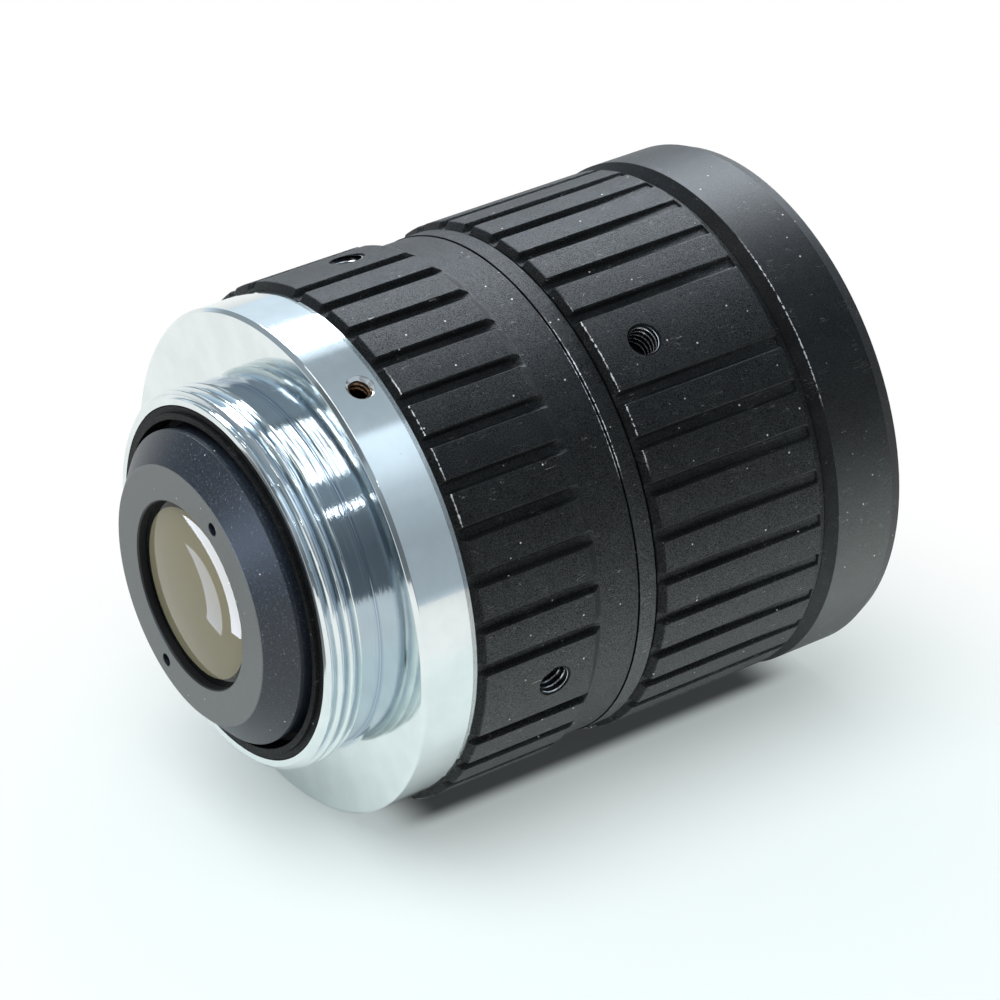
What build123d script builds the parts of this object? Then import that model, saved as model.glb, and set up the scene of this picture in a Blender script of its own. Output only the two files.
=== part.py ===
from build123d import *
import os
from math import cos, degrees, radians, sin

# A small fixed focal length lens with a one inch screw mount, in millimetres.
# It stands on its front rim with the mount upwards: +Z runs along the lens axis,
# and the origin is the centre of the front rim's plane.

# Lengths along the axis, in order from the front rim to the rear cell
front_ring_length = 5.95
recess_length = 0.7
focus_grip_length = 12.7
focus_gap = 0.18
index_ring_length = 1.24
iris_front_gap = 0.08
iris_ring_length = 12.3
iris_rear_gap = 0.15
flange_thickness = 3.8
thread_length = 4.0
cell_projection = 2.45

# Clearances
running_gap = 0.05
face_gap = 0.05
seat_gap = 0.03
blade_gap = 0.06
cut_margin = 1.0

# Barrel and grips, as walls from the bore outwards
barrel_bore_radius = 13.0
sleeve_wall = 1.8
body_wall = 2.2
grip_wall = 1.75
flute_depth = 0.5
index_ring_step = 0.1
iris_collar_step = 0.04
front_ring_step = 0.15
front_rim_step = 0.37

# Grips: axial flutes with a screw hole in place of every twelfth flute
flute_count = 36
flute_width = 1.0
hole_count = 3
grip_chamfer_length = 0.4
iris_land_end = 3.65
iris_land_slope = 0.7
iris_hole_angle = -25.0
iris_hole_drop = 5.75
focus_hole_angle = -80.2
focus_hole_drop = 3.75
tapped_radius = 0.92
tapped_mouth_width = 0.13
tapped_mouth_angle = 90

# Mount ring, with a 1 inch - 32 thread
thread_radius = 12.7
thread_relief_depth = 0.5
thread_chamfer = 0.4
thread_relief_length = 1.6
mount_wall = 0.34
mount_seat_step = 2.14
flange_wall = 3.0
mount_seat_depth = 0.6
flange_undercut_depth = 0.06
flange_undercut_margin = 0.1
flange_edge_chamfer = 0.25
flange_front_chamfer = 0.1
set_screw_count = 3
set_screw_angle = -68.0
set_screw_drop = 2.46
set_screw_length = 1.9
set_screw_socket_sides = 6
set_screw_socket_radius = 0.5
set_screw_socket_depth = 0.9

# Barrel neck, and the web that parts the rear cell from the iris
neck_wall = 1.3
web_lip = 2.0
web_thickness = 0.6
web_drop = 4.2
neck_recess = 1.4

# Rear lock ring, in two steps
lock_ring_inset = 0.06
lock_ring_width = 0.8
lock_ring_step_width = 0.4
lock_ring_step = 0.26

# Rear cell
cell_cone_width = 1.83
cell_cone_height = 1.65
cell_wall = 2.25
cell_inner_step = 0.6
cell_throat_lip = 1.3
cell_chamfer_width = 0.1
cell_chamfer_depth = 0.1
cell_lip_depth = 0.55
cell_rim_height = 0.35
cell_neck_depth = 0.13
cell_neck_lift = 0.4
cell_neck_slope = 0.1
spanner_hole_count = 2
spanner_hole_radius = 0.28
spanner_hole_depth = 0.5
spanner_hole_angle = -70.8

# Rear glass, its spacer and its retainer
rear_lens_edge = 2.35
rear_lens_crown = 0.6
rear_lens_hollow = 0.7
rear_lens_land = 1.1
rear_spacer_length = 1.4
rear_spacer_wall = 0.7
rear_inner_edge = 3.05
rear_inner_crown = 0.8
rear_inner_land = 1.2
rear_retainer_lip = 1.1
retainer_thickness = 1.2
retainer_slot_width = 1.2
retainer_slot_depth = 0.5

# Iris: a cup with pivots, six blades, a ring with spiral slots, a cover
blade_count = 6
cup_floor = 0.7
cup_wall = 0.55
cup_depth = 2.85
iris_cover_thickness = 0.6
iris_retainer_thickness = 1.0
iris_retainer_width = 1.45
blade_thickness = 0.1
blade_width = 3.1
blade_start = -8.0
blade_sweep = 105.0
blade_pivot_inset = 2.0
blade_pivot_reach = 1.0
blade_lever = 2.0
blade_pin_radius = 0.35
blade_tab_radius = 0.7
blade_tab_width = 2.0
blade_tab_drop = 0.175
blade_pin_lift = 0.3
iris_turn = 50.0
blade_turn = 29.5
cam_slot_overrun = 1.0
cam_ring_thickness = 1.6
cam_ring_bore_step = 0.2
cam_ring_lift = 0.1
drive_pin_radius = 0.5
drive_pin_hold = 1.02
drive_pin_reach = 1.15
drive_pin_angle = -5.0
drive_slot_gap = 0.1
drive_slot_end_gap = 1.3

# Focus carriage, which slides in the barrel on a key
focus_travel = 2.0
carriage_drop = 1.55
carriage_rear_wall = 2.45
carriage_front_wall = 1.75
carriage_inner_step = 1.0
carriage_inner_length = 7.6
carriage_retainer_inset = 0.4
third_lens_land = 1.25
third_lens_edge = 2.9
third_lens_hollow = 0.8
third_lens_crown = 1.0
second_lens_edge = 4.0
second_lens_hollow = 1.2
second_lens_land = 1.85
second_lens_crown = 0.8
front_spacer_length = 1.0
front_spacer_wall = 0.95
front_lens_edge = 3.0
front_lens_hollow = 0.4
front_lens_crown = 1.4
front_retainer_lip = 1.0
front_retainer_step = 0.75
carriage_spigot_wall = 0.7
carriage_foot_inset = 0.4
carriage_flange_thickness = 1.0
carriage_flange_lap = 0.35
sleeve_stop_gap = 0.1
key_radius = 1.0
key_angle = 100.0
key_drop = 2.43
key_depth = 0.6
key_slot_overrun = 0.1

# Focus ring and front ring
counterbore_gap = 0.1
front_spigot_length = 2.1
front_spigot_wall = 0.95
front_spigot_gap = 0.4
filter_thread_step = 0.7
filter_thread_length = 3.5
filter_mouth_chamfer = 0.3
front_ring_slope = 0.65
front_chamfer_length = 0.9

# Heights worked out from the lengths
grip_foot = front_ring_length + recess_length
focus_top = grip_foot + focus_grip_length
index_foot = focus_top + focus_gap
index_top = index_foot + index_ring_length
iris_foot = index_top + iris_front_gap
iris_top = iris_foot + iris_ring_length
flange_foot = iris_top + iris_rear_gap
flange_top = flange_foot + flange_thickness
thread_top = flange_top + thread_length
cell_top = thread_top + cell_projection
neck_top = thread_top - neck_recess
web_top = flange_top - web_drop
web_foot = web_top - web_thickness
cup_floor_foot = web_foot - cup_floor
cup_rim = cup_floor_foot - cup_depth
iris_cover_foot = cup_rim - iris_cover_thickness
iris_retainer_foot = iris_cover_foot - iris_retainer_thickness
cam_ring_foot = cup_rim + cam_ring_lift
cam_ring_top = cam_ring_foot + cam_ring_thickness
drive_pin_height = (cam_ring_foot + cam_ring_top) / 2
carriage_top = iris_retainer_foot - carriage_drop
third_lens_top = carriage_top - carriage_retainer_inset - retainer_thickness
third_lens_foot = third_lens_top - third_lens_edge
second_lens_top = third_lens_foot - carriage_inner_length
second_lens_foot = second_lens_top - second_lens_edge
front_lens_top = second_lens_foot - front_spacer_length
front_lens_foot = front_lens_top - front_lens_edge
front_retainer_foot = front_lens_foot - retainer_thickness
carriage_foot = front_retainer_foot - carriage_foot_inset
key_height = index_foot - key_drop
front_spigot_top = front_ring_length + front_spigot_length
carriage_flange_foot = front_spigot_top + face_gap
carriage_flange_top = carriage_flange_foot + carriage_flange_thickness
focus_shoulder = carriage_flange_top + face_gap
sleeve_foot = carriage_flange_top + sleeve_stop_gap

# Radii worked out from the walls
sleeve_radius = barrel_bore_radius + sleeve_wall
body_radius = barrel_bore_radius + body_wall
iris_bore_radius = body_radius + running_gap
grip_floor_radius = iris_bore_radius + grip_wall
grip_radius = grip_floor_radius + flute_depth
iris_collar_radius = grip_floor_radius + iris_collar_step
index_ring_radius = grip_floor_radius + index_ring_step
front_ring_radius = grip_radius + front_ring_step
front_rim_radius = front_ring_radius - front_rim_step
tapped_mouth_radius = tapped_radius + tapped_mouth_width
thread_relief_radius = thread_radius - thread_relief_depth
mount_bore_radius = thread_relief_radius - mount_wall
mount_seat_radius = mount_bore_radius + mount_seat_step
flange_radius = mount_seat_radius + flange_wall
neck_radius = mount_bore_radius - lock_ring_inset
cell_bore_radius = neck_radius - neck_wall
web_bore_radius = cell_bore_radius - web_lip
cell_radius = cell_bore_radius - running_gap
rear_retainer_bore = cell_radius - cell_wall
rear_lens_bore = rear_retainer_bore - cell_inner_step + running_gap
rear_lens_radius = rear_lens_bore - running_gap
cell_throat_radius = rear_lens_radius - cell_throat_lip
cell_opening_radius = cell_throat_radius + cell_chamfer_width
cell_face_radius = cell_bore_radius - cell_cone_width
cup_radius = barrel_bore_radius - running_gap
cup_wall_radius = cup_radius - cup_wall
cam_ring_radius = cup_wall_radius - running_gap - seat_gap
blade_pivot_circle = cup_wall_radius - blade_pivot_inset
blade_outer_radius = blade_pivot_circle - blade_pivot_reach
iris_opening = blade_outer_radius - blade_width
cam_ring_bore = iris_opening + cam_ring_bore_step
drive_pin_inner = cam_ring_radius - drive_pin_hold
drive_pin_outer = iris_bore_radius + drive_pin_reach
carriage_radius = barrel_bore_radius - running_gap
third_lens_bore = carriage_radius - carriage_rear_wall
third_lens_radius = third_lens_bore - running_gap
carriage_inner_radius = third_lens_bore - carriage_inner_step
second_lens_bore = carriage_radius - carriage_front_wall
second_lens_radius = second_lens_bore - running_gap
front_spacer_bore = second_lens_radius - front_spacer_wall
focus_bore_radius = sleeve_radius + running_gap
carriage_flange_radius = focus_bore_radius + carriage_flange_lap
counterbore_radius = carriage_flange_radius + counterbore_gap
front_spigot_radius = counterbore_radius - running_gap
front_spigot_bore = front_spigot_radius - front_spigot_wall
filter_thread_radius = front_spigot_bore + filter_thread_step
carriage_spigot_radius = front_spigot_bore - front_spigot_gap
front_retainer_seat = carriage_spigot_radius - carriage_spigot_wall
front_retainer_radius = front_retainer_seat - running_gap
front_lens_bore = front_retainer_seat - front_retainer_step
front_lens_radius = front_lens_bore - running_gap
front_retainer_bore = front_lens_radius - front_retainer_lip

os.makedirs("parts", exist_ok=True)


def half_section(*corners):
    """The half section of a turned piece, from corners given as radius and height."""
    with BuildSketch(Plane.XZ) as section:
        with BuildLine():
            Polyline(*corners, close=True)
        make_face()
    return section.sketch.face()


def lens_section(radius, foot, top, foot_rise, top_rise, foot_cap, top_cap):
    """The half section of a lens: two spherical caps inside flat edges. A rise is counted
    upwards at the axis, so it is positive for a hollow foot and for a crowned top."""
    with BuildSketch(Plane.XZ) as section:
        with BuildLine():
            TangentArc((0, foot + foot_rise), (foot_cap, foot), tangent=(1, 0))
            Polyline((foot_cap, foot), (radius, foot), (radius, top), (top_cap, top))
            TangentArc((0, top + top_rise), (top_cap, top), tangent=(1, 0))
            Line((0, top + top_rise), (0, foot + foot_rise))
        make_face()
    return section.sketch.face()


def radial_plane(angle, radius, height):
    """A plane square to the radius at an angle, facing outwards."""
    direction = Vector(cos(radians(angle)), sin(radians(angle)), 0)
    return Plane(origin=direction * radius + Vector(0, 0, height), x_dir=(0, 0, 1), z_dir=direction)


def spread(first, count):
    """Angles spaced evenly round the axis from the first one."""
    return [first + 360 / count * step for step in range(count)]


def fluted_places(first_hole):
    """The angles of a grip's flutes, which leave out the places of its screw holes."""
    divisions_per_hole = flute_count // hole_count
    return [
        angle
        for step, angle in enumerate(spread(first_hole, flute_count))
        if step % divisions_per_hole
    ]


# Mount ring: thread, relief and flange in one piece of plated brass
with BuildPart() as mount_ring:
    revolve(
        half_section(
            (mount_bore_radius, thread_top),
            (thread_radius - thread_chamfer, thread_top),
            (thread_radius, thread_top - thread_chamfer),
            (thread_radius, flange_top + thread_relief_length),
            (thread_relief_radius, flange_top + thread_relief_length),
            (thread_relief_radius, flange_top - flange_undercut_depth),
            (thread_radius + flange_undercut_margin, flange_top - flange_undercut_depth),
            (thread_radius + flange_undercut_margin, flange_top),
            (flange_radius - flange_edge_chamfer, flange_top),
            (flange_radius, flange_top - flange_edge_chamfer),
            (flange_radius, flange_foot + flange_front_chamfer),
            (flange_radius - flange_front_chamfer, flange_foot),
            (mount_seat_radius, flange_foot),
            (mount_seat_radius, flange_top - mount_seat_depth),
            (mount_bore_radius, flange_top - mount_seat_depth),
        ),
        axis=Axis.Z,
    )
    set_screw_height = flange_top - set_screw_drop
    screw_angles = spread(set_screw_angle, set_screw_count)
    with Locations(*[radial_plane(angle, flange_radius, set_screw_height) for angle in screw_angles]):
        CounterSinkHole(
            tapped_radius,
            tapped_mouth_radius,
            depth=flange_radius - mount_seat_radius + running_gap,
            counter_sink_angle=tapped_mouth_angle,
        )
mount_ring.part.label = "mount_ring"
export_step(mount_ring.part, "parts/mount_ring.step")

# Three grub screws that hold the mount ring on the barrel at the wanted turn
with BuildPart() as mount_set_screws:
    screw_radius = tapped_radius - seat_gap
    screw_outer = mount_seat_radius + set_screw_length
    for angle in screw_angles:
        with BuildSketch(radial_plane(angle, mount_seat_radius, set_screw_height)):
            Circle(screw_radius)
        extrude(amount=set_screw_length)
        with BuildSketch(radial_plane(angle, screw_outer, set_screw_height)):
            RegularPolygon(set_screw_socket_radius, set_screw_socket_sides)
        extrude(amount=-set_screw_socket_depth, mode=Mode.SUBTRACT)
mount_set_screws.part.label = "mount_set_screws"
export_step(mount_set_screws.part, "parts/mount_set_screws.step")

# Main barrel: carries the mount ring, both grip rings, the rear cell, iris and carriage
with BuildPart() as main_barrel:
    revolve(
        half_section(
            (cell_bore_radius, neck_top),
            (neck_radius, neck_top),
            (neck_radius, flange_top - mount_seat_depth),
            (mount_seat_radius - seat_gap, flange_top - mount_seat_depth),
            (mount_seat_radius - seat_gap, flange_foot),
            (body_radius, flange_foot),
            (body_radius, index_top),
            (index_ring_radius, index_top),
            (index_ring_radius, index_foot),
            (sleeve_radius, index_foot),
            (sleeve_radius, sleeve_foot),
            (barrel_bore_radius, sleeve_foot),
            (barrel_bore_radius, web_foot),
            (web_bore_radius, web_foot),
            (web_bore_radius, web_top),
            (cell_bore_radius, web_top),
        ),
        axis=Axis.Z,
    )
    slot_reach = degrees(drive_pin_radius / barrel_bore_radius) + drive_slot_end_gap
    slot_half_height = drive_pin_radius + drive_slot_gap
    with BuildSketch(Plane.XZ.rotated((0, 0, drive_pin_angle - slot_reach))):
        with Locations(((barrel_bore_radius + body_radius) / 2, drive_pin_height)):
            Rectangle(body_wall + cut_margin, 2 * slot_half_height)
    revolve(axis=Axis.Z, revolution_arc=iris_turn + 2 * slot_reach, mode=Mode.SUBTRACT)
    with Locations(radial_plane(key_angle, sleeve_radius, key_height)):
        Hole(key_radius + seat_gap, depth=sleeve_wall + cut_margin)
main_barrel.part.label = "main_barrel"
export_step(main_barrel.part, "parts/main_barrel.step")

# Stepped ring that screws down over the barrel's rear end
with BuildPart() as rear_lock_ring:
    lock_ring_bore_radius = neck_radius - lock_ring_width
    lock_ring_step_radius = neck_radius - lock_ring_step_width
    revolve(
        half_section(
            (lock_ring_bore_radius, neck_top),
            (neck_radius, neck_top),
            (neck_radius, thread_top),
            (lock_ring_step_radius, thread_top),
            (lock_ring_step_radius, thread_top + lock_ring_step),
            (lock_ring_bore_radius, thread_top + lock_ring_step),
        ),
        axis=Axis.Z,
    )
rear_lock_ring.part.label = "rear_lock_ring"
export_step(rear_lock_ring.part, "parts/rear_lock_ring.step")

# Rear cell, with a coned shoulder and two holes for a pin spanner
lens_seat = cell_top - cell_chamfer_depth - cell_lip_depth
rear_inner_top = lens_seat - rear_lens_edge - rear_spacer_length
rear_inner_foot = rear_inner_top - rear_inner_edge
with BuildPart() as rear_cell:
    revolve(
        half_section(
            (cell_opening_radius, cell_top),
            (cell_face_radius, cell_top),
            (cell_bore_radius, cell_top - cell_cone_height),
            (cell_bore_radius, cell_top - cell_cone_height - cell_rim_height),
            (cell_bore_radius - cell_neck_depth, cell_top - cell_cone_height - cell_rim_height),
            (cell_bore_radius - cell_neck_depth, neck_top + cell_neck_lift),
            (cell_radius, neck_top + cell_neck_lift - cell_neck_slope),
            (cell_radius, web_top),
            (rear_retainer_bore, web_top),
            (rear_retainer_bore, rear_inner_foot),
            (rear_lens_bore, rear_inner_foot),
            (rear_lens_bore, lens_seat),
            (cell_throat_radius, lens_seat),
            (cell_throat_radius, cell_top - cell_chamfer_depth),
        ),
        axis=Axis.Z,
    )
    with BuildSketch(Plane.XY.offset(cell_top)):
        spanner_circle = (cell_opening_radius + cell_face_radius) / 2
        with PolarLocations(spanner_circle, spanner_hole_count, start_angle=spanner_hole_angle):
            Circle(spanner_hole_radius)
    extrude(amount=-spanner_hole_depth, mode=Mode.SUBTRACT)
rear_cell.part.label = "rear_cell"
export_step(rear_cell.part, "parts/rear_cell.step")

# Rear lens, crowned outwards and hollow inwards
with BuildPart() as rear_lens:
    revolve(
        lens_section(
            rear_lens_radius,
            lens_seat - rear_lens_edge,
            lens_seat,
            rear_lens_hollow,
            rear_lens_crown,
            rear_lens_radius - rear_lens_land,
            cell_throat_radius - running_gap,
        ),
        axis=Axis.Z,
    )
rear_lens.part.label = "rear_lens"
export_step(rear_lens.part, "parts/rear_lens.step")

# Spacer between the two rear elements
with BuildPart() as rear_spacer:
    rear_spacer_bore = rear_lens_radius - rear_spacer_wall
    revolve(
        half_section(
            (rear_spacer_bore, rear_inner_top),
            (rear_lens_radius, rear_inner_top),
            (rear_lens_radius, rear_inner_top + rear_spacer_length),
            (rear_spacer_bore, rear_inner_top + rear_spacer_length),
        ),
        axis=Axis.Z,
    )
rear_spacer.part.label = "rear_spacer"
export_step(rear_spacer.part, "parts/rear_spacer.step")

# Inner rear lens, crowned on both sides
with BuildPart() as rear_inner_lens:
    revolve(
        lens_section(
            rear_lens_radius,
            rear_inner_foot,
            rear_inner_top,
            -rear_inner_crown,
            rear_inner_crown,
            rear_lens_radius - rear_inner_land,
            rear_lens_radius - rear_inner_land,
        ),
        axis=Axis.Z,
    )
rear_inner_lens.part.label = "rear_inner_lens"
export_step(rear_inner_lens.part, "parts/rear_inner_lens.step")

# Retainer ring of the rear cell, with a spanner slot across it
with BuildPart() as rear_retainer:
    rear_retainer_foot = rear_inner_foot - retainer_thickness
    retainer_bore = rear_lens_radius - rear_retainer_lip
    revolve(
        half_section(
            (retainer_bore, rear_retainer_foot),
            (rear_retainer_bore - running_gap, rear_retainer_foot),
            (rear_retainer_bore - running_gap, rear_inner_foot),
            (retainer_bore, rear_inner_foot),
        ),
        axis=Axis.Z,
    )
    with BuildSketch(Plane.XY.offset(rear_retainer_foot)):
        Rectangle(2 * rear_retainer_bore, retainer_slot_width)
    extrude(amount=retainer_slot_depth, mode=Mode.SUBTRACT)
rear_retainer.part.label = "rear_retainer"
export_step(rear_retainer.part, "parts/rear_retainer.step")

# Iris cup: a floor with six pivot holes and a wall that the iris ring turns in
with BuildPart() as iris_cup:
    revolve(
        half_section(
            (iris_opening, web_foot),
            (cup_radius, web_foot),
            (cup_radius, cup_rim),
            (cup_wall_radius, cup_rim),
            (cup_wall_radius, cup_floor_foot),
            (iris_opening, cup_floor_foot),
        ),
        axis=Axis.Z,
    )
    with BuildSketch(Plane.XY.offset(cup_floor_foot)):
        with PolarLocations(blade_pivot_circle, blade_count):
            Circle(blade_pin_radius + running_gap)
    extrude(amount=cup_floor, mode=Mode.SUBTRACT)
    with BuildSketch(Plane.XZ.rotated((0, 0, drive_pin_angle - slot_reach))):
        with Locations(((cup_wall_radius + cup_radius) / 2, drive_pin_height)):
            Rectangle(cup_wall + cut_margin, 2 * slot_half_height)
    revolve(axis=Axis.Z, revolution_arc=iris_turn + 2 * slot_reach, mode=Mode.SUBTRACT)
iris_cup.part.label = "iris_cup"
export_step(iris_cup.part, "parts/iris_cup.step")

# Six iris blades on levels of their own. Each has a pivot pin that goes up into the cup's
# floor and a drive pin that goes down into the cam ring.
pivot_pin_top = web_foot - running_gap
drive_stub_foot = cam_ring_foot + blade_pin_lift
blade_pitch = blade_thickness + blade_gap
for step in range(blade_count):
    blade_top = cup_floor_foot - blade_gap - blade_pitch * step
    with BuildPart() as iris_blade:
        with BuildSketch(Plane.XY.offset(blade_top)):
            with BuildLine():
                outer = CenterArc((0, 0), blade_outer_radius, blade_start, blade_sweep)
                inner = CenterArc((0, 0), iris_opening, blade_start, blade_sweep)
                Line(outer @ 0, inner @ 0)
                Line(outer @ 1, inner @ 1)
            make_face()
            with Locations((blade_pivot_circle, -blade_lever / 2)):
                SlotCenterToCenter(blade_lever, 2 * blade_tab_radius, rotation=90)
            with Locations((blade_pivot_circle - blade_tab_width / 2, -blade_tab_drop)):
                Rectangle(blade_tab_width, 2 * blade_tab_radius)
        extrude(amount=-blade_thickness)
        with BuildSketch(Plane.XY.offset(pivot_pin_top)):
            with Locations((blade_pivot_circle, 0)):
                Circle(blade_pin_radius)
        extrude(amount=blade_top - pivot_pin_top)
        with BuildSketch(Plane.XY.offset(drive_stub_foot)):
            with Locations((blade_pivot_circle, -blade_lever)):
                Circle(blade_pin_radius)
        extrude(amount=blade_top - blade_thickness - drive_stub_foot)
    turned_blade = iris_blade.part.rotate(Axis.Z, 360 / blade_count * step)
    turned_blade.label = f"iris_blade_{step + 1}"
    export_step(turned_blade, f"parts/iris_blade_{step + 1}.step")


def drive_point(turn):
    """Where a blade's drive pin lies in the cam ring's own frame, after the iris ring's turn."""
    blade_angle = radians(blade_turn * turn / iris_turn)
    pin_x = blade_pivot_circle + blade_lever * sin(blade_angle)
    pin_y = -blade_lever * cos(blade_angle)
    return Vector(pin_x, pin_y).rotate(Axis.Z, -turn)


# Cam ring, whose six spiral slots swing the blades
with BuildPart() as cam_ring:
    revolve(
        half_section(
            (cam_ring_bore, cam_ring_foot),
            (cam_ring_radius, cam_ring_foot),
            (cam_ring_radius, cam_ring_top),
            (cam_ring_bore, cam_ring_top),
        ),
        axis=Axis.Z,
    )
    slot_line = ThreePointArc(
        drive_point(-cam_slot_overrun),
        drive_point(iris_turn / 2),
        drive_point(iris_turn + cam_slot_overrun),
        mode=Mode.PRIVATE,
    )
    with BuildSketch(Plane.XY.offset(cam_ring_foot)):
        with PolarLocations(0, blade_count):
            SlotArc(slot_line, 2 * (blade_pin_radius + running_gap))
    extrude(amount=cam_ring_thickness, mode=Mode.SUBTRACT)
    with BuildSketch(radial_plane(drive_pin_angle, drive_pin_inner, drive_pin_height)):
        Circle(drive_pin_radius)
    extrude(amount=drive_pin_hold + cut_margin, mode=Mode.SUBTRACT)
cam_ring.part.label = "cam_ring"
export_step(cam_ring.part, "parts/cam_ring.step")

# Pin that joins the iris ring outside to the cam ring inside
with BuildPart() as iris_drive_pin:
    with BuildSketch(radial_plane(drive_pin_angle, drive_pin_inner, drive_pin_height)):
        Circle(drive_pin_radius)
    extrude(amount=drive_pin_outer - drive_pin_inner)
iris_drive_pin.part.label = "iris_drive_pin"
export_step(iris_drive_pin.part, "parts/iris_drive_pin.step")

# Cover plate under the cam ring
with BuildPart() as iris_cover:
    revolve(
        half_section(
            (cam_ring_bore, iris_cover_foot),
            (cup_radius, iris_cover_foot),
            (cup_radius, cup_rim),
            (cam_ring_bore, cup_rim),
        ),
        axis=Axis.Z,
    )
iris_cover.part.label = "iris_cover"
export_step(iris_cover.part, "parts/iris_cover.step")

# Screwed ring that clamps the iris cup and cover against the barrel's web
with BuildPart() as iris_retainer:
    iris_retainer_bore = cup_radius - iris_retainer_width
    revolve(
        half_section(
            (iris_retainer_bore, iris_retainer_foot),
            (cup_radius, iris_retainer_foot),
            (cup_radius, iris_cover_foot),
            (iris_retainer_bore, iris_cover_foot),
        ),
        axis=Axis.Z,
    )
    with BuildSketch(Plane.XY.offset(iris_retainer_foot)):
        Rectangle(2 * barrel_bore_radius, retainer_slot_width)
    extrude(amount=retainer_slot_depth, mode=Mode.SUBTRACT)
iris_retainer.part.label = "iris_retainer"
export_step(iris_retainer.part, "parts/iris_retainer.step")

# Iris ring: a fluted grip with a plain collar at its foot
with BuildPart() as iris_ring:
    collar_top = iris_foot + iris_land_end - iris_land_slope
    revolve(
        half_section(
            (iris_bore_radius, iris_foot),
            (iris_collar_radius, iris_foot),
            (iris_collar_radius, collar_top),
            (grip_radius, iris_foot + iris_land_end),
            (grip_radius, iris_top - grip_chamfer_length),
            (grip_floor_radius, iris_top),
            (iris_bore_radius, iris_top),
        ),
        axis=Axis.Z,
    )
    with BuildSketch(Plane.XY.offset(collar_top)):
        for angle in fluted_places(iris_hole_angle):
            with PolarLocations(grip_floor_radius + flute_depth, 1, start_angle=angle):
                Rectangle(2 * flute_depth, flute_width)
    extrude(amount=iris_top - collar_top, mode=Mode.SUBTRACT)
    iris_hole_height = iris_top - iris_hole_drop
    iris_holes = spread(iris_hole_angle, hole_count)
    with Locations(*[radial_plane(angle, grip_radius, iris_hole_height) for angle in iris_holes]):
        CounterSinkHole(
            tapped_radius,
            tapped_mouth_radius,
            depth=grip_radius - iris_bore_radius + running_gap,
            counter_sink_angle=tapped_mouth_angle,
        )
    with BuildSketch(radial_plane(drive_pin_angle, iris_bore_radius - cut_margin, drive_pin_height)):
        Circle(drive_pin_radius)
    extrude(amount=drive_pin_reach + cut_margin, mode=Mode.SUBTRACT)
iris_ring.part.label = "iris_ring"
export_step(iris_ring.part, "parts/iris_ring.step")

# Key that keeps the carriage from turning in the barrel
with BuildPart() as guide_key:
    key_inner = barrel_bore_radius - key_depth
    with BuildSketch(radial_plane(key_angle, key_inner, key_height)):
        Circle(key_radius)
    extrude(amount=sleeve_radius - running_gap - key_inner)
guide_key.part.label = "guide_key"
export_step(guide_key.part, "parts/guide_key.step")

# Carriage: the sliding tube that holds the three front elements
with BuildPart() as carriage:
    revolve(
        half_section(
            (third_lens_bore, carriage_top),
            (carriage_radius, carriage_top),
            (carriage_radius, carriage_flange_top),
            (carriage_flange_radius, carriage_flange_top),
            (carriage_flange_radius, carriage_flange_foot),
            (carriage_spigot_radius, carriage_flange_foot),
            (carriage_spigot_radius, carriage_foot),
            (front_retainer_seat, carriage_foot),
            (front_retainer_seat, front_lens_foot),
            (front_lens_bore, front_lens_foot),
            (front_lens_bore, front_lens_top),
            (second_lens_bore, front_lens_top),
            (second_lens_bore, second_lens_top),
            (carriage_inner_radius, second_lens_top),
            (carriage_inner_radius, third_lens_foot),
            (third_lens_bore, third_lens_foot),
        ),
        axis=Axis.Z,
    )
    slot_middle = key_height + focus_travel / 2
    slot_floor = key_inner - running_gap
    with BuildSketch(radial_plane(key_angle, slot_floor, slot_middle)):
        SlotCenterToCenter(focus_travel + 2 * key_slot_overrun, 2 * (key_radius + seat_gap))
    extrude(amount=barrel_bore_radius - slot_floor, mode=Mode.SUBTRACT)
carriage.part.label = "carriage"
export_step(carriage.part, "parts/carriage.step")

# Third lens, behind the carriage's inner wall
with BuildPart() as third_lens:
    revolve(
        lens_section(
            third_lens_radius,
            third_lens_foot,
            third_lens_top,
            -third_lens_crown,
            -third_lens_hollow,
            third_lens_radius - third_lens_land,
            third_lens_radius - third_lens_land,
        ),
        axis=Axis.Z,
    )
third_lens.part.label = "third_lens"
export_step(third_lens.part, "parts/third_lens.step")

# Retainer ring at the carriage's rear end
with BuildPart() as carriage_retainer:
    carriage_retainer_top = third_lens_top + retainer_thickness
    carriage_retainer_bore = third_lens_radius - third_lens_land
    revolve(
        half_section(
            (carriage_retainer_bore, third_lens_top),
            (third_lens_radius, third_lens_top),
            (third_lens_radius, carriage_retainer_top),
            (carriage_retainer_bore, carriage_retainer_top),
        ),
        axis=Axis.Z,
    )
    with BuildSketch(Plane.XY.offset(carriage_retainer_top)):
        Rectangle(2 * third_lens_bore, retainer_slot_width)
    extrude(amount=-retainer_slot_depth, mode=Mode.SUBTRACT)
carriage_retainer.part.label = "carriage_retainer"
export_step(carriage_retainer.part, "parts/carriage_retainer.step")

# Second lens, seated on the front of the carriage's inner wall
with BuildPart() as second_lens:
    revolve(
        lens_section(
            second_lens_radius,
            second_lens_foot,
            second_lens_top,
            -second_lens_crown,
            -second_lens_hollow,
            front_spacer_bore,
            second_lens_radius - second_lens_land,
        ),
        axis=Axis.Z,
    )
second_lens.part.label = "second_lens"
export_step(second_lens.part, "parts/second_lens.step")

# Spacer between the second and the front lens
with BuildPart() as front_spacer:
    revolve(
        half_section(
            (front_spacer_bore, front_lens_top),
            (second_lens_radius, front_lens_top),
            (second_lens_radius, second_lens_foot),
            (front_spacer_bore, second_lens_foot),
        ),
        axis=Axis.Z,
    )
front_spacer.part.label = "front_spacer"
export_step(front_spacer.part, "parts/front_spacer.step")

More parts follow.
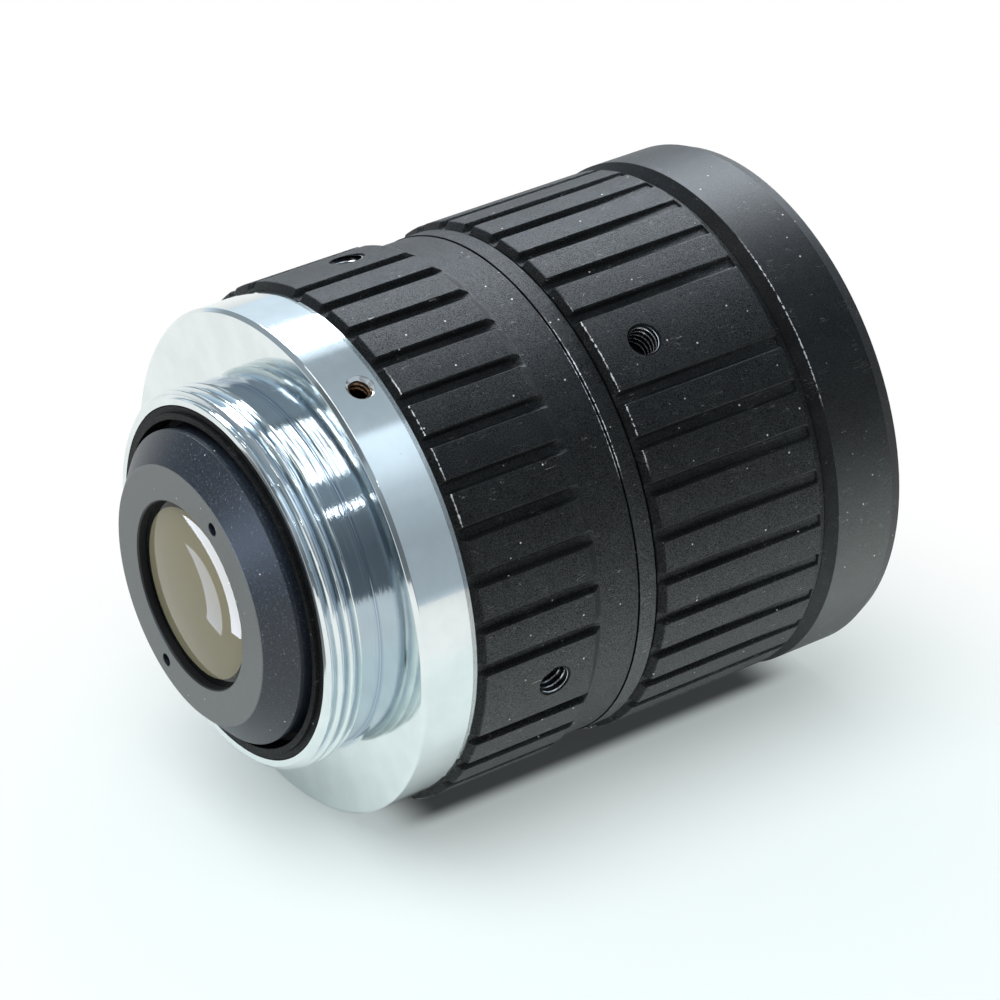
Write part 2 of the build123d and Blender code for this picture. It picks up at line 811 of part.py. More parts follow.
# Front lens, crowned towards the front
with BuildPart() as front_lens:
    revolve(
        lens_section(
            front_lens_radius,
            front_lens_foot,
            front_lens_top,
            -front_lens_crown,
            -front_lens_hollow,
            front_retainer_bore,
            front_spacer_bore,
        ),
        axis=Axis.Z,
    )
front_lens.part.label = "front_lens"
export_step(front_lens.part, "parts/front_lens.step")

# Retainer ring in front of the front lens
with BuildPart() as front_retainer:
    revolve(
        half_section(
            (front_retainer_bore, front_retainer_foot),
            (front_retainer_radius, front_retainer_foot),
            (front_retainer_radius, front_lens_foot),
            (front_retainer_bore, front_lens_foot),
        ),
        axis=Axis.Z,
    )
    with BuildSketch(Plane.XY.offset(front_retainer_foot)):
        Rectangle(2 * front_retainer_seat, retainer_slot_width)
    extrude(amount=retainer_slot_depth, mode=Mode.SUBTRACT)
front_retainer.part.label = "front_retainer"
export_step(front_retainer.part, "parts/front_retainer.step")

# Focus ring: turns on the barrel's sleeve and holds the carriage's flange from above
with BuildPart() as focus_ring:
    revolve(
        half_section(
            (counterbore_radius, front_ring_length),
            (grip_floor_radius, front_ring_length),
            (grip_floor_radius, grip_foot),
            (grip_radius, grip_foot),
            (grip_radius, focus_top - grip_chamfer_length),
            (grip_floor_radius, focus_top),
            (focus_bore_radius, focus_top),
            (focus_bore_radius, focus_shoulder),
            (counterbore_radius, focus_shoulder),
        ),
        axis=Axis.Z,
    )
    with BuildSketch(Plane.XY.offset(grip_foot)):
        for angle in fluted_places(focus_hole_angle):
            with PolarLocations(grip_floor_radius + flute_depth, 1, start_angle=angle):
                Rectangle(2 * flute_depth, flute_width)
    extrude(amount=focus_grip_length, mode=Mode.SUBTRACT)
    focus_hole_height = focus_top - focus_hole_drop
    focus_holes = spread(focus_hole_angle, hole_count)
    with Locations(*[radial_plane(angle, grip_radius, focus_hole_height) for angle in focus_holes]):
        CounterSinkHole(
            tapped_radius,
            tapped_mouth_radius,
            depth=grip_radius - focus_bore_radius + running_gap,
            counter_sink_angle=tapped_mouth_angle,
        )
focus_ring.part.label = "focus_ring"
export_step(focus_ring.part, "parts/focus_ring.step")

# Front ring, with the filter thread's bore, screwed into the focus ring
with BuildPart() as front_ring:
    revolve(
        half_section(
            (filter_thread_radius + filter_mouth_chamfer, 0),
            (front_rim_radius, 0),
            (front_ring_radius, front_chamfer_length),
            (front_ring_radius, front_ring_length - front_ring_slope),
            (grip_floor_radius, front_ring_length),
            (front_spigot_radius, front_ring_length),
            (front_spigot_radius, front_spigot_top),
            (front_spigot_bore, front_spigot_top),
            (front_spigot_bore, filter_thread_length),
            (filter_thread_radius, filter_thread_length),
            (filter_thread_radius, filter_mouth_chamfer),
        ),
        axis=Axis.Z,
    )
front_ring.part.label = "front_ring"
export_step(front_ring.part, "parts/front_ring.step")
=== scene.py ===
from math import cos, pi, radians, sin, tau

import bmesh
import bpy
import numpy as np
from mathutils import Matrix, Vector


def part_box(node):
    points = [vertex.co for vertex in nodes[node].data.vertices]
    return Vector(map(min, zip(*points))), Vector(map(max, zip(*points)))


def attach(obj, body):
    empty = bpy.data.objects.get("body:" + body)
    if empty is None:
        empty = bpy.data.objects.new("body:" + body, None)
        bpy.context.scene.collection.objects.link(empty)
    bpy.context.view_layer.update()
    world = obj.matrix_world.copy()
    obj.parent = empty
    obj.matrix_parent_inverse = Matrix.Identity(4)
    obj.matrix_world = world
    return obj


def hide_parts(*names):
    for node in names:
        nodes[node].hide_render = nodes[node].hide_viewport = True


# A machine vision lens with a one inch screw mount, in metres. Its axis is +Z, with the mount on top.
# The values in the dictionaries are millimetres and degrees unless a note says otherwise.

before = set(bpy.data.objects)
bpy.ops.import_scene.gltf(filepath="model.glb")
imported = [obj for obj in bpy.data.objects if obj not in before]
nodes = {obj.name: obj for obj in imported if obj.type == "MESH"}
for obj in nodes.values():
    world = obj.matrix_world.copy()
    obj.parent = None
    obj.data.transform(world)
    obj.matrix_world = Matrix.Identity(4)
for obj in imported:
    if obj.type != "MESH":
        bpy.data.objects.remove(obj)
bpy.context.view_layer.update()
mm = 0.001
print("frame loaded,", len(nodes), "solids")

# The lens lies on the table on its side, so up is square to the axis
studio = {
    "tableAngle": -45.0,  # where up points, round the axis
    "tableTilt": -0.32,  # the front ring is wider than the grip, so the lens leans by this
    "tableDrop": 17.69,  # from the axis to the table
    "tableSize": 2400.0,
    "tableColour": (0.79, 0.87, 0.87, 1.0),
    "tableGlow": 0.35,  # share of plain white in the table, which keeps its shadow soft
    "mirroredGlow": 0.15,  # the same, in what the lens reflects
    "glowColour": (0.92, 1.0, 1.0, 1.0),
    "paintedShadowWidth": (7.8, 9.5),  # a painted shadow: the dark strip along the lens where it lies on the table
    "paintedShadowStart": (0.0, 5.0),
    "paintedShadowEnd": (30.0, 34.2),
    "paintedShadowDepth": 0.90,
    # painted shade round the lens: the table's glow grows from its own share and tint to full white
    # between these distances from this spot
    "paintedShadeCentre": (-24.0, 0.0, 25.0),
    "paintedShadeFade": (20.0, 50.0),
}
upWay = Vector((cos(radians(studio["tableAngle"])), sin(radians(studio["tableAngle"])), 0.0))
axisWay = Vector((0.0, 0.0, 1.0))
backWay = axisWay.cross(upWay)


def studioWay(lift, lean):
    # a direction from the lens: lift turns from up towards the back, lean turns towards the mount
    flat = upWay * cos(radians(lift)) + backWay * sin(radians(lift))
    return flat * cos(radians(lean)) + axisWay * sin(radians(lean))


def addNode(tree, kind, inputs=None, **settings):
    # one shader node, its inputs given as sockets or as plain values
    made = tree.nodes.new("ShaderNode" + kind)
    for key, value in settings.items():
        setattr(made, key, value)
    for key, value in (inputs or {}).items():
        if isinstance(value, bpy.types.NodeSocket):
            tree.links.new(value, made.inputs[key])
        else:
            made.inputs[key].default_value = value
    return made


def doMath(tree, operation, first, second=0.0, third=0.0):
    return addNode(tree, "Math", {0: first, 1: second, 2: third}, operation=operation).outputs[0]


def fadeBetween(tree, value, low, high, lowResult=0.0, highResult=1.0):
    # a smooth step from one result to the other while the value goes from low to high
    limits = {"Value": value, 1: low, 2: high, 3: lowResult, 4: highResult}
    return addNode(tree, "MapRange", limits, interpolation_type="SMOOTHSTEP").outputs[0]


def mixColours(tree, share, first, second):
    mixed = addNode(tree, "Mix", data_type="RGBA")
    for key, value in ((0, share), (6, first), (7, second)):
        if isinstance(value, bpy.types.NodeSocket):
            tree.links.new(value, mixed.inputs[key])
        else:
            mixed.inputs[key].default_value = value
    return mixed.outputs[2]


def noise(tree, place, scale, detail=3.0, roughness=0.55):
    inputs = {"Vector": place, "Scale": scale, "Detail": detail, "Roughness": roughness}
    return addNode(tree, "TexNoise", inputs).outputs["Fac"]


def placeOnPart(tree):
    # the place on the part in millimetres, as a vector and as radius, height and turn round the axis
    spot = addNode(tree, "TexCoord").outputs["Object"]
    place = addNode(tree, "VectorMath", {0: spot, "Scale": 1 / mm}, operation="SCALE").outputs[0]
    x, y, height = addNode(tree, "SeparateXYZ", {0: place}).outputs
    flat = addNode(tree, "CombineXYZ", {0: x, 1: y}).outputs[0]
    radius = addNode(tree, "VectorMath", {0: flat}, operation="LENGTH").outputs["Value"]
    turn = doMath(tree, "ARCTAN2", y, x)
    return {"place": place, "radius": radius, "height": height, "turn": turn}


def startMaterial(name, sockets):
    # a material with one Principled shader, whose constants go straight onto its sockets
    material = bpy.data.materials.new(name)
    material.use_nodes = True
    tree = material.node_tree
    shader = tree.nodes["Principled BSDF"]
    for key, value in sockets.items():
        shader.inputs[key].default_value = value
    return material, tree, shader


def joinBump(tree, shader, height, depth, strength=1.0):
    bump = addNode(tree, "Bump", {"Height": height, "Distance": depth * mm, "Strength": strength})
    tree.links.new(bump.outputs[0], shader.inputs["Normal"])


def dustMask(tree, place, look):
    # specks: the cores of a few cells of a Voronoi pattern, picked by the cell's own random colour
    cells = addNode(tree, "TexVoronoi", {"Vector": place, "Scale": look["dustScale"]})
    pick = addNode(tree, "SeparateColor", {0: cells.outputs["Color"]}).outputs
    near = fadeBetween(tree, cells.outputs["Distance"], 0.02, look["dustSize"], 1.0, 0.0)
    chosen = doMath(tree, "LESS_THAN", pick[0], look["dustShare"])
    return doMath(tree, "MULTIPLY", near, chosen)


def scratchMask(tree, place, look):
    # thin scratches: where a stretched noise passes its middle value, broken up by a second noise
    long = addNode(tree, "Mapping", {"Vector": place, "Scale": look["scratchStretch"]}).outputs[0]
    wave = noise(tree, long, look["scratchScale"], detail=1.0)
    line = doMath(tree, "ABSOLUTE", doMath(tree, "SUBTRACT", wave, 0.5))
    thin = fadeBetween(tree, line, 0.0, look["scratchWidth"], 1.0, 0.0)
    cloud = noise(tree, place, look["scratchPatch"], detail=2.0)
    patch = fadeBetween(tree, cloud, look["scratchFrom"], look["scratchTo"])
    return doMath(tree, "MULTIPLY", thin, patch)


# The handled places round the part, where edges are worn and carry a painted edge highlight: both fade in
# where the cosine of places * (turn - middle) passes from edge to full, and they are uneven inside them
wearAndHighlight = {
    "places": 3.0,
    "middle": -86.0,
    "edge": 0.42,
    "full": 0.85,
    "patchScale": 0.4,
    "patchFade": (0.36, 0.52, 0.45, 1.0),
    "nickFade": (0.40, 0.66, 0.02, 1.9),
}


def wornAndHighlightedBands(tree, spot, bands, nicks):
    # bright lines round the part, partly worn edges and partly a painted edge highlight, each at a height
    # and beyond a radius, in patches and with nicks
    total = None
    shift = -wearAndHighlight["places"] * radians(wearAndHighlight["middle"])
    lean = doMath(tree, "MULTIPLY_ADD", spot["turn"], wearAndHighlight["places"], shift)
    window = fadeBetween(tree, doMath(tree, "COSINE", lean), wearAndHighlight["edge"], wearAndHighlight["full"])
    cloud = noise(tree, spot["place"], wearAndHighlight["patchScale"], detail=2.0)
    patch = doMath(tree, "MULTIPLY", window, fadeBetween(tree, cloud, *wearAndHighlight["patchFade"]))
    for height, beyond, width in bands:
        away = doMath(tree, "ABSOLUTE", doMath(tree, "SUBTRACT", spot["height"], height))
        uneven = doMath(tree, "MULTIPLY", fadeBetween(tree, nicks, *wearAndHighlight["nickFade"]), width)
        line = fadeBetween(tree, doMath(tree, "DIVIDE", away, uneven), 0.5, 1.0, 1.0, 0.0)
        outside = doMath(tree, "GREATER_THAN", spot["radius"], beyond)
        band = doMath(tree, "MULTIPLY", doMath(tree, "MULTIPLY", line, outside), patch)
        total = band if total is None else doMath(tree, "MAXIMUM", total, band)
    return total


def anodisedMetal(name, look):
    # dyed, blasted aluminium: a dark dye with a fine grain, dust, scratches, and bright edge lines that
    # are partly worn and partly painted highlight
    material, tree, shader = startMaterial(name, {"IOR": 1.5})
    spot = placeOnPart(tree)
    grain = noise(tree, spot["place"], look["grainScale"], detail=4.0, roughness=0.7)
    shine = fadeBetween(tree, grain, 0.36, 0.64, look["glossLow"], look["glossHigh"])
    tree.links.new(shine, shader.inputs["Specular IOR Level"])
    cloud = noise(tree, spot["place"], scale=0.5, detail=3.0)
    colour = mixColours(tree, fadeBetween(tree, cloud, 0.3, 0.7), look["darkColour"], look["paleColour"])
    scratch = doMath(tree, "MULTIPLY", scratchMask(tree, spot["place"], look), look["scratchStrength"])
    colour = mixColours(tree, scratch, colour, look["bareMetalAndHighlightColour"])
    metal = scratch
    if look["bands"]:
        nicks = noise(tree, spot["place"], look["nickScale"], detail=4.0, roughness=0.7)
        bands = wornAndHighlightedBands(tree, spot, look["bands"], nicks)
        # the bright edge lines: partly worn metal, partly a painted highlight
        worn = doMath(tree, "MULTIPLY", bands, look["wornAndHighlightStrength"])
        colour = mixColours(tree, worn, colour, look["bareMetalAndHighlightColour"])
        metal = doMath(tree, "MAXIMUM", scratch, worn)
    dust = dustMask(tree, spot["place"], look)
    colour = mixColours(tree, dust, colour, look["dustColour"])
    tree.links.new(colour, shader.inputs["Base Color"])
    tree.links.new(doMath(tree, "SUBTRACT", metal, dust), shader.inputs["Metallic"])
    rough = fadeBetween(tree, grain, 0.3, 0.7, look["roughLow"], look["roughHigh"])
    tree.links.new(rough, shader.inputs["Roughness"])
    joinBump(tree, shader, grain, look["grainDepth"])
    return material


anodised = {
    "darkColour": (0.0020, 0.0025, 0.0030, 1.0),
    "paleColour": (0.0045, 0.0055, 0.0060, 1.0),
    "bareMetalAndHighlightColour": (0.75, 0.76, 0.77, 1.0),
    "dustColour": (0.60, 0.62, 0.61, 1.0),
    "glossLow": 0.03,
    "glossHigh": 0.34,
    "grainScale": 12.0,
    "grainDepth": 0.03,
    "roughLow": 0.46,
    "roughHigh": 0.56,
    "dustScale": 1.3,
    "dustSize": 0.11,
    "dustShare": 0.22,
    "scratchStretch": (1.0, 1.0, 0.15),
    "scratchScale": 3.0,
    "scratchWidth": 0.004,
    "scratchPatch": 0.9,
    "scratchFrom": 0.56,
    "scratchTo": 0.62,
    "scratchStrength": 0.25,
    "nickScale": 4.0,
    "wornAndHighlightStrength": 1.0,
    "bands": [],
}


def turnedMetal(name, look):
    # turned metal: bright, with fine tool lines round the axis and uneven thread grooves, and painted
    # shade, darker and bluer, in the thread's roots and the relief below them
    material, tree, shader = startMaterial(name, {"Metallic": 1.0, "Base Color": look["colour"]})
    spot = placeOnPart(tree)
    turned = doMath(tree, "MULTIPLY", spot["turn"], look["lineLength"])
    lines = addNode(tree, "CombineXYZ", {0: spot["radius"], 1: spot["height"], 2: turned}).outputs[0]
    brushed = noise(tree, lines, look["lineScale"], detail=3.0, roughness=0.7)
    cloud = noise(tree, spot["place"], scale=0.4, detail=3.0)
    colour = mixColours(tree, fadeBetween(tree, cloud, 0.3, 0.7), look["colour"], look["darkColour"])
    inside = fadeBetween(tree, spot["radius"], *look["grooveWithin"], 1.0, 0.0)
    below = doMath(tree, "LESS_THAN", spot["height"], look["grooveBelow"])
    inside = doMath(tree, "MULTIPLY", inside, below)
    # Painted shade: the roots of the thread and the relief below it take the darker, bluer groove colour
    shade = doMath(tree, "MULTIPLY", inside, look["paintedGrooveShade"])
    colour = mixColours(tree, shade, colour, look["grooveColour"])
    dust = dustMask(tree, spot["place"], look)
    colour = mixColours(tree, dust, colour, look["dustColour"])
    tree.links.new(colour, shader.inputs["Base Color"])
    rough = fadeBetween(tree, brushed, 0.25, 0.75, look["roughLow"], look["roughHigh"])
    tree.links.new(rough, shader.inputs["Roughness"])
    turned = doMath(tree, "MULTIPLY", spot["turn"], look["grooveLength"])
    around = addNode(tree, "CombineXYZ", {0: spot["height"], 1: turned}).outputs[0]
    groove = noise(tree, around, look["grooveScale"], detail=2.0, roughness=0.6)
    deepest = look["grooveDepth"] / look["lineDepth"]
    deep = doMath(tree, "MULTIPLY", doMath(tree, "MULTIPLY", groove, inside), deepest)
    joinBump(tree, shader, doMath(tree, "ADD", brushed, deep), look["lineDepth"])
    return material


chrome = {
    "colour": (0.80, 0.85, 0.85, 1.0),
    "darkColour": (0.74, 0.79, 0.79, 1.0),
    "grooveScale": 5.0,
    "grooveLength": 0.2,
    "grooveDepth": 0.035,
    "grooveWithin": (12.3, 12.62),
    "grooveBelow": 40.75,
    # painted shade in the thread's roots and relief: its share and its colour
    "paintedGrooveShade": 1.0,
    "grooveColour": (0.54, 0.61, 0.67, 1.0),
    "dustColour": (0.25, 0.26, 0.26, 1.0),
    "lineLength": 1.5,
    "lineScale": 14.0,
    "lineDepth": 0.0004,
    "roughLow": 0.04,
    "roughHigh": 0.12,
    "dustScale": 1.4,
    "dustSize": 0.07,
    "dustShare": 0.06,
}


def coatedGlass(name, look):
    # coated glass with a few specks of dust on it, clear or toned, and opaque beyond the rim radius
    sockets = {"IOR": look["index"], "Specular Tint": look["coating"]}
    material, tree, shader = startMaterial(name, sockets)
    spot = placeOnPart(tree)
    dust = dustMask(tree, spot["place"], look)
    rim = doMath(tree, "GREATER_THAN", spot["radius"], look["rimRadius"])
    colour = mixColours(tree, rim, look["colour"], look["rimColour"])
    tree.links.new(mixColours(tree, dust, colour, look["dustColour"]), shader.inputs["Base Color"])
    clear = doMath(tree, "MULTIPLY", doMath(tree, "SUBTRACT", 1.0, rim), look["clear"])
    tree.links.new(clear, shader.inputs["Transmission Weight"])
    smear = noise(tree, spot["place"], scale=0.7, detail=4.0)
    tree.links.new(fadeBetween(tree, smear, 0.4, 0.8, 0.0, look["haze"]), shader.inputs["Roughness"])
    return material


glass = {
    "index": 1.62,
    "clear": 1.0,
    "rimRadius": 100.0,
    "rimColour": (0.004, 0.004, 0.004, 1.0),
    "coating": (1.0, 0.96, 0.72, 1.0),
    "colour": (0.96, 0.97, 0.90, 1.0),
    "dustColour": (0.7, 0.7, 0.68, 1.0),
    "haze": 0.03,
    "dustScale": 1.2,
    "dustSize": 0.08,
    "dustShare": 0.10,
}


def gridMesh(name, points):
    # a mesh from a grid of points, rows by columns, closed round both ways
    rows, columns = points.shape[:2]
    index = np.arange(rows * columns).reshape(rows, columns)
    ahead = np.roll(index, -1, axis=1)
    above = np.roll(index, -1, axis=0)
    aheadAbove = np.roll(above, -1, axis=1)
    faces = np.stack([index, ahead, aheadAbove, above], axis=-1).reshape(-1, 4)
    mesh = bpy.data.meshes.new(name)
    mesh.vertices.add(rows * columns)
    mesh.vertices.foreach_set("co", (points.reshape(-1, 3) * mm).astype(np.float32).ravel())
    mesh.loops.add(faces.size)
    mesh.loops.foreach_set("vertex_index", faces.astype(np.int32).ravel())
    mesh.polygons.add(len(faces))
    mesh.polygons.foreach_set("loop_start", np.arange(len(faces), dtype=np.int32) * 4)
    mesh.update(calc_edges=True)
    mesh.validate()
    piece = bpy.data.objects.new(name, mesh)
    bpy.context.scene.collection.objects.link(piece)
    return piece


def turnedPoints(radius, turn, height):
    # point = (r cos a, r sin a, z)
    return np.stack([radius * np.cos(turn), radius * np.sin(turn), height + 0 * radius * turn], axis=-1)


# How corners are eased: the points on each curve, the most of a side that it takes and how much further
# out the flats' own points are
easing = {"steps": 4, "mostOfSide": 0.3, "flatReach": 1.4}


def easedCorners(corners, size):
    # an outline of radius and height with each corner eased by a small curve:
    # point(t) = (1-t)^2 * before + 2t(1-t) * corner + t^2 * after,
    # with a point further out on each side to keep the flats flat
    corners = np.array(corners, float)
    before = np.roll(corners, 1, axis=0) - corners
    after = np.roll(corners, -1, axis=0) - corners
    lengthBefore = np.linalg.norm(before, axis=1, keepdims=True)
    lengthAfter = np.linalg.norm(after, axis=1, keepdims=True)
    reach = np.minimum(size, easing["mostOfSide"] * np.minimum(lengthBefore, lengthAfter))
    start = corners + before / lengthBefore * reach
    end = corners + after / lengthAfter * reach
    t = np.linspace(0, 1, easing["steps"])[None, :, None]
    curve = (1 - t) ** 2 * start[:, None] + 2 * t * (1 - t) * corners[:, None] + t**2 * end[:, None]
    first = corners + before / lengthBefore * reach * easing["flatReach"]
    last = corners + after / lengthAfter * reach * easing["flatReach"]
    return np.concatenate([first[:, None], curve, last[:, None]], axis=1).reshape(-1, 2)


# The mount ring, with its real thread
mount = {
    "pitch": 0.79375,
    "crestRadius": 12.7,
    "threadDepth": 0.47,
    "ridgeFoot": 0.86,
    "ridgeFlank": 0.70,
    "runIn": 0.16,
    "crestHeight": 39.78,
    "reliefRadius": 12.2,
    "reliefTop": 38.62,
    "threadChamfer": 0.4,
    "boreRadius": 11.86,
    "seatRadius": 14.0,
    "seatDepth": 0.6,
    "flangeTop": 37.1,
    "edgeChamfer": 0.25,
    "footChamfer": 0.1,
    "cornerEase": 0.035,
    "columns": 336,
    "threadRow": 0.035,
    "screwAngles": (-68.0, 52.0, 172.0),
    "screwHeight": 34.64,
    "holeFoot": 13.5,
    "threadFoot": 15.95,
    "threadMouth": 16.96,
    "holeRadius": 0.92,
    "mouthRadius": 0.95,
    "holeRows": (-1.5, -1.2, -0.9, -0.6, -0.3, 0.0, 0.3, 0.6, 0.9, 1.2, 1.5),
}


def threadRadius(height, turn, look):
    # radius = crest - depth + depth * ridge(phase), phase = (height - crest height) / pitch - turn / tau;
    # the ridge has a flat crest, and the thread ends in the relief below and in the chamfer above
    phase = (height - look["crestHeight"]) / look["pitch"] - turn / tau
    away = 2 * np.abs(phase - np.round(phase))
    ridge = np.clip((look["ridgeFoot"] - away) / look["ridgeFlank"], 0, 1)
    ridge = ridge * ridge * (3 - 2 * ridge)
    grown = np.clip((height - look["reliefTop"]) / look["runIn"], 0, 1)
    return look["crestRadius"] - look["threadDepth"] + look["threadDepth"] * ridge * grown


def mountRing(look):
    # the turned outline, with extra rows for the screw holes before its fifth corner and the thread's rows
    # in place of the end of its eighth corner and the start of its ninth
    low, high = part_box("mount_ring")
    foot, top, outer = low.z / mm, high.z / mm, high.x / mm
    corners = [
        (look["seatRadius"], look["flangeTop"] - look["seatDepth"]),
        (look["seatRadius"], foot),
        (outer - look["footChamfer"], foot),
        (outer, foot + look["footChamfer"]),
        (outer, look["flangeTop"] - look["edgeChamfer"]),
        (outer - look["edgeChamfer"], look["flangeTop"]),
        (look["reliefRadius"], look["flangeTop"]),
        (look["reliefRadius"], look["reliefTop"]),
        (look["crestRadius"] - look["threadChamfer"], top),
        (look["boreRadius"], top),
        (look["boreRadius"], look["flangeTop"] - look["seatDepth"]),
    ]
    outline = easedCorners(corners, look["cornerEase"])
    perCorner = len(outline) // len(corners)
    holes = 4 * perCorner
    threadFrom, threadTo = 8 * perCorner - 2, 8 * perCorner + 2
    holeRows = [(outer, look["screwHeight"] + step) for step in look["holeRows"]]
    flank = np.arange(look["reliefTop"] + look["threadRow"], top - look["threadRow"], look["threadRow"])
    threadRows = np.stack([np.full_like(flank, look["crestRadius"]), flank], axis=1)
    stretches = [outline[:holes], holeRows, outline[holes:threadFrom], threadRows, outline[threadTo:]]
    outline = np.concatenate(stretches)
    threadFrom += len(holeRows)
    isThread = np.zeros(len(outline), bool)
    isThread[threadFrom : threadFrom + len(flank)] = True
    turn = np.linspace(0, tau, look["columns"], endpoint=False)[None, :]
    radius = np.repeat(outline[:, :1], look["columns"], axis=1)
    height = np.repeat(outline[:, 1:], look["columns"], axis=1)
    cone = look["crestRadius"] - look["threadChamfer"] + (top - height)
    threaded = np.minimum(threadRadius(height, turn, look), cone)
    radius = np.where(isThread[:, None], threaded, radius)
    return gridMesh("threaded_mount_ring", turnedPoints(radius, turn, height))


def radialPoints(radius, along, angle, height, columns):
    # a turned shape on a radial axis:
    # point = out * along + side * radius * cos(u) + axis * (radius * sin(u) + height)
    u = np.linspace(0, tau, columns, endpoint=False)[None, :]
    radius = np.broadcast_to(radius, (radius.shape[0], columns))
    along = np.broadcast_to(along, (along.shape[0], columns))
    out = np.array([cos(radians(angle)), sin(radians(angle)), 0.0])
    side = np.array([-sin(radians(angle)), cos(radians(angle)), 0.0])
    points = out * along[..., None] + side * (radius * np.cos(u))[..., None]
    points[..., 2] += radius * np.sin(u) + height
    return points


def closeEnds(piece):
    # merges the points of each end row, which all lie on the axis, so that the piece is closed
    built = bmesh.new()
    built.from_mesh(piece.data)
    bmesh.ops.remove_doubles(built, verts=built.verts, dist=1e-7)
    built.to_mesh(piece.data)
    built.free()
    return piece


def plug(profile, angle, height, columns=48):
    # a closed plug turned round a radial axis
    profile = np.array(profile, float)
    points = radialPoints(profile[:, :1], profile[:, 1:], angle, height, columns)
    return closeEnds(gridMesh("plug", points))


def tappedPlug(angle, height, inner, surface, look):
    # the plug for a straight hole that opens in a cone where it meets the surface
    spread = look["mouthRadius"] - look["holeRadius"]
    profile = [
        (0.0, inner),
        (look["holeRadius"], inner),
        (look["holeRadius"], surface - spread),
        (look["mouthRadius"] + spread, surface + spread),
        (0.0, surface + spread),
    ]
    return plug(profile, angle, height)


def cutHoles(piece, plugs):
    # takes all the plugs out of the piece in one exact cut
    built = bmesh.new()
    for one in plugs:
        built.from_mesh(one.data)
        bpy.data.objects.remove(one)
    mesh = bpy.data.meshes.new("plugs")
    built.to_mesh(mesh)
    built.free()
    cutter = bpy.data.objects.new("plugs", mesh)
    bpy.context.scene.collection.objects.link(cutter)
    cut = piece.modifiers.new("holes", "BOOLEAN")
    cut.object = cutter
    cut.solver = "EXACT"
    bpy.context.view_layer.update()
    done = bpy.data.meshes.new_from_object(piece.evaluated_get(bpy.context.evaluated_depsgraph_get()))
    piece.modifiers.clear()
    piece.data = done
    bpy.data.objects.remove(cutter)


def threadLiner(name, angle, height, inner, outer, look):
    # the thread in a tapped hole: a sleeve with a plain outer wall, whose inner radius is
    # outer radius - wall - depth * ridge(phase), phase = along / pitch - u / tau;
    # where it has a mouth slope it opens in a cone at its mouth
    u = np.linspace(0, tau, look["columns"], endpoint=False)[None, :]
    along = np.arange(outer, inner, -look["row"])[:, None]
    phase = along / look["pitch"] - u / tau
    away = 2 * np.abs(phase - np.round(phase))
    ridge = np.clip(look["ridgeSlope"] * (1 - away) - look["ridgeStart"], 0, 1)
    bore = look["sleeveRadius"] - look["sleeveWall"] - look["depth"] * ridge
    cone = look["sleeveRadius"] - look["mouthSlope"] * (outer - along)
    isMouth = (cone > bore) & (look["mouthSlope"] > 0)
    bore = np.where(isMouth, cone, bore)
    wall = np.full((2, look["columns"]), look["sleeveRadius"])
    radius = np.concatenate([wall, bore])
    along = np.concatenate([np.array([[inner], [outer]]), along])
    sleeve = gridMesh(name, radialPoints(radius, along, angle, height, look["columns"]))
    for key, values in (("crest", ridge), ("mouth", isMouth.astype(float))):
        kept = sleeve.data.attributes.new(key, "FLOAT", "POINT")
        kept.data.foreach_set("value", np.concatenate([0 * wall, values]).astype(np.float32).ravel())
    return sleeve


def threadMetal(name, look):
    # the thread in a hole: bright crests, dulled in places by a noise, darker grooves, and a mouth in its
    # own colour
    material, tree, shader = startMaterial(name, {"Metallic": look["metal"]})
    spot = placeOnPart(tree)
    crest = addNode(tree, "Attribute", attribute_name="crest").outputs["Fac"]
    mouth = addNode(tree, "Attribute", attribute_name="mouth").outputs["Fac"]
    dirt = noise(tree, spot["place"], scale=6.0, detail=3.0)
    onCrest = fadeBetween(tree, crest, look["crestFrom"], 0.97)
    clean = fadeBetween(tree, dirt, 0.3, 0.6, 0.55, 1.0)
    share = doMath(tree, "MULTIPLY", onCrest, clean)
    colour = mixColours(tree, share, look["grooveColour"], look["crestColour"])
    colour = mixColours(tree, mouth, colour, look["mouthColour"])
    tree.links.new(colour, shader.inputs["Base Color"])
    rough = fadeBetween(tree, dirt, 0.3, 0.7, look["roughLow"], look["roughHigh"])
    tree.links.new(rough, shader.inputs["Roughness"])
    joinBump(tree, shader, dirt, depth=0.004)
    return material


def giveMaterial(piece, material):
    piece.data.materials.clear()
    piece.data.materials.append(material)


sharpAngle = 32.0


def addAsPiece(piece, body, material):
    piece.data.shade_smooth()
    piece.data.set_sharp_from_angle(angle=radians(sharpAngle))
    giveMaterial(piece, material)
    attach(piece, body)


liner = {
    "columns": 40,
    "row": 0.04,
    "pitch": 0.45,
    "depth": 0.16,
    "ridgeSlope": 1.25,
    "ridgeStart": 0.1,
    "sleeveRadius": 1.145,
    "sleeveWall": 0.01,
    "mouthSlope": 0.0,
}
mountLiner = liner | {
    "pitch": 0.4,
    "depth": 0.13,
    "sleeveRadius": 0.915,
    "sleeveWall": 0.12,
    "mouthSlope": 1.1,
}
threadedMount = mountRing(mount)
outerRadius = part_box("mount_ring")[1].x / mm
cutHoles(threadedMount, [
    tappedPlug(angle, mount["screwHeight"], mount["holeFoot"], outerRadius, mount)
    for angle in mount["screwAngles"]
])
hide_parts("mount_ring")
addAsPiece(threadedMount, "barrel", turnedMetal("satin chrome on brass", chrome))
brassThread = threadMetal("brass under the chrome", {
    "metal": 0.8,
    "crestFrom": 0.3,
    "grooveColour": (0.05, 0.03, 0.02, 1.0),
    "crestColour": (0.66, 0.44, 0.28, 1.0),
    "mouthColour": (0.80, 0.84, 0.86, 1.0),
    "roughLow": 0.08,
    "roughHigh": 0.2,
})
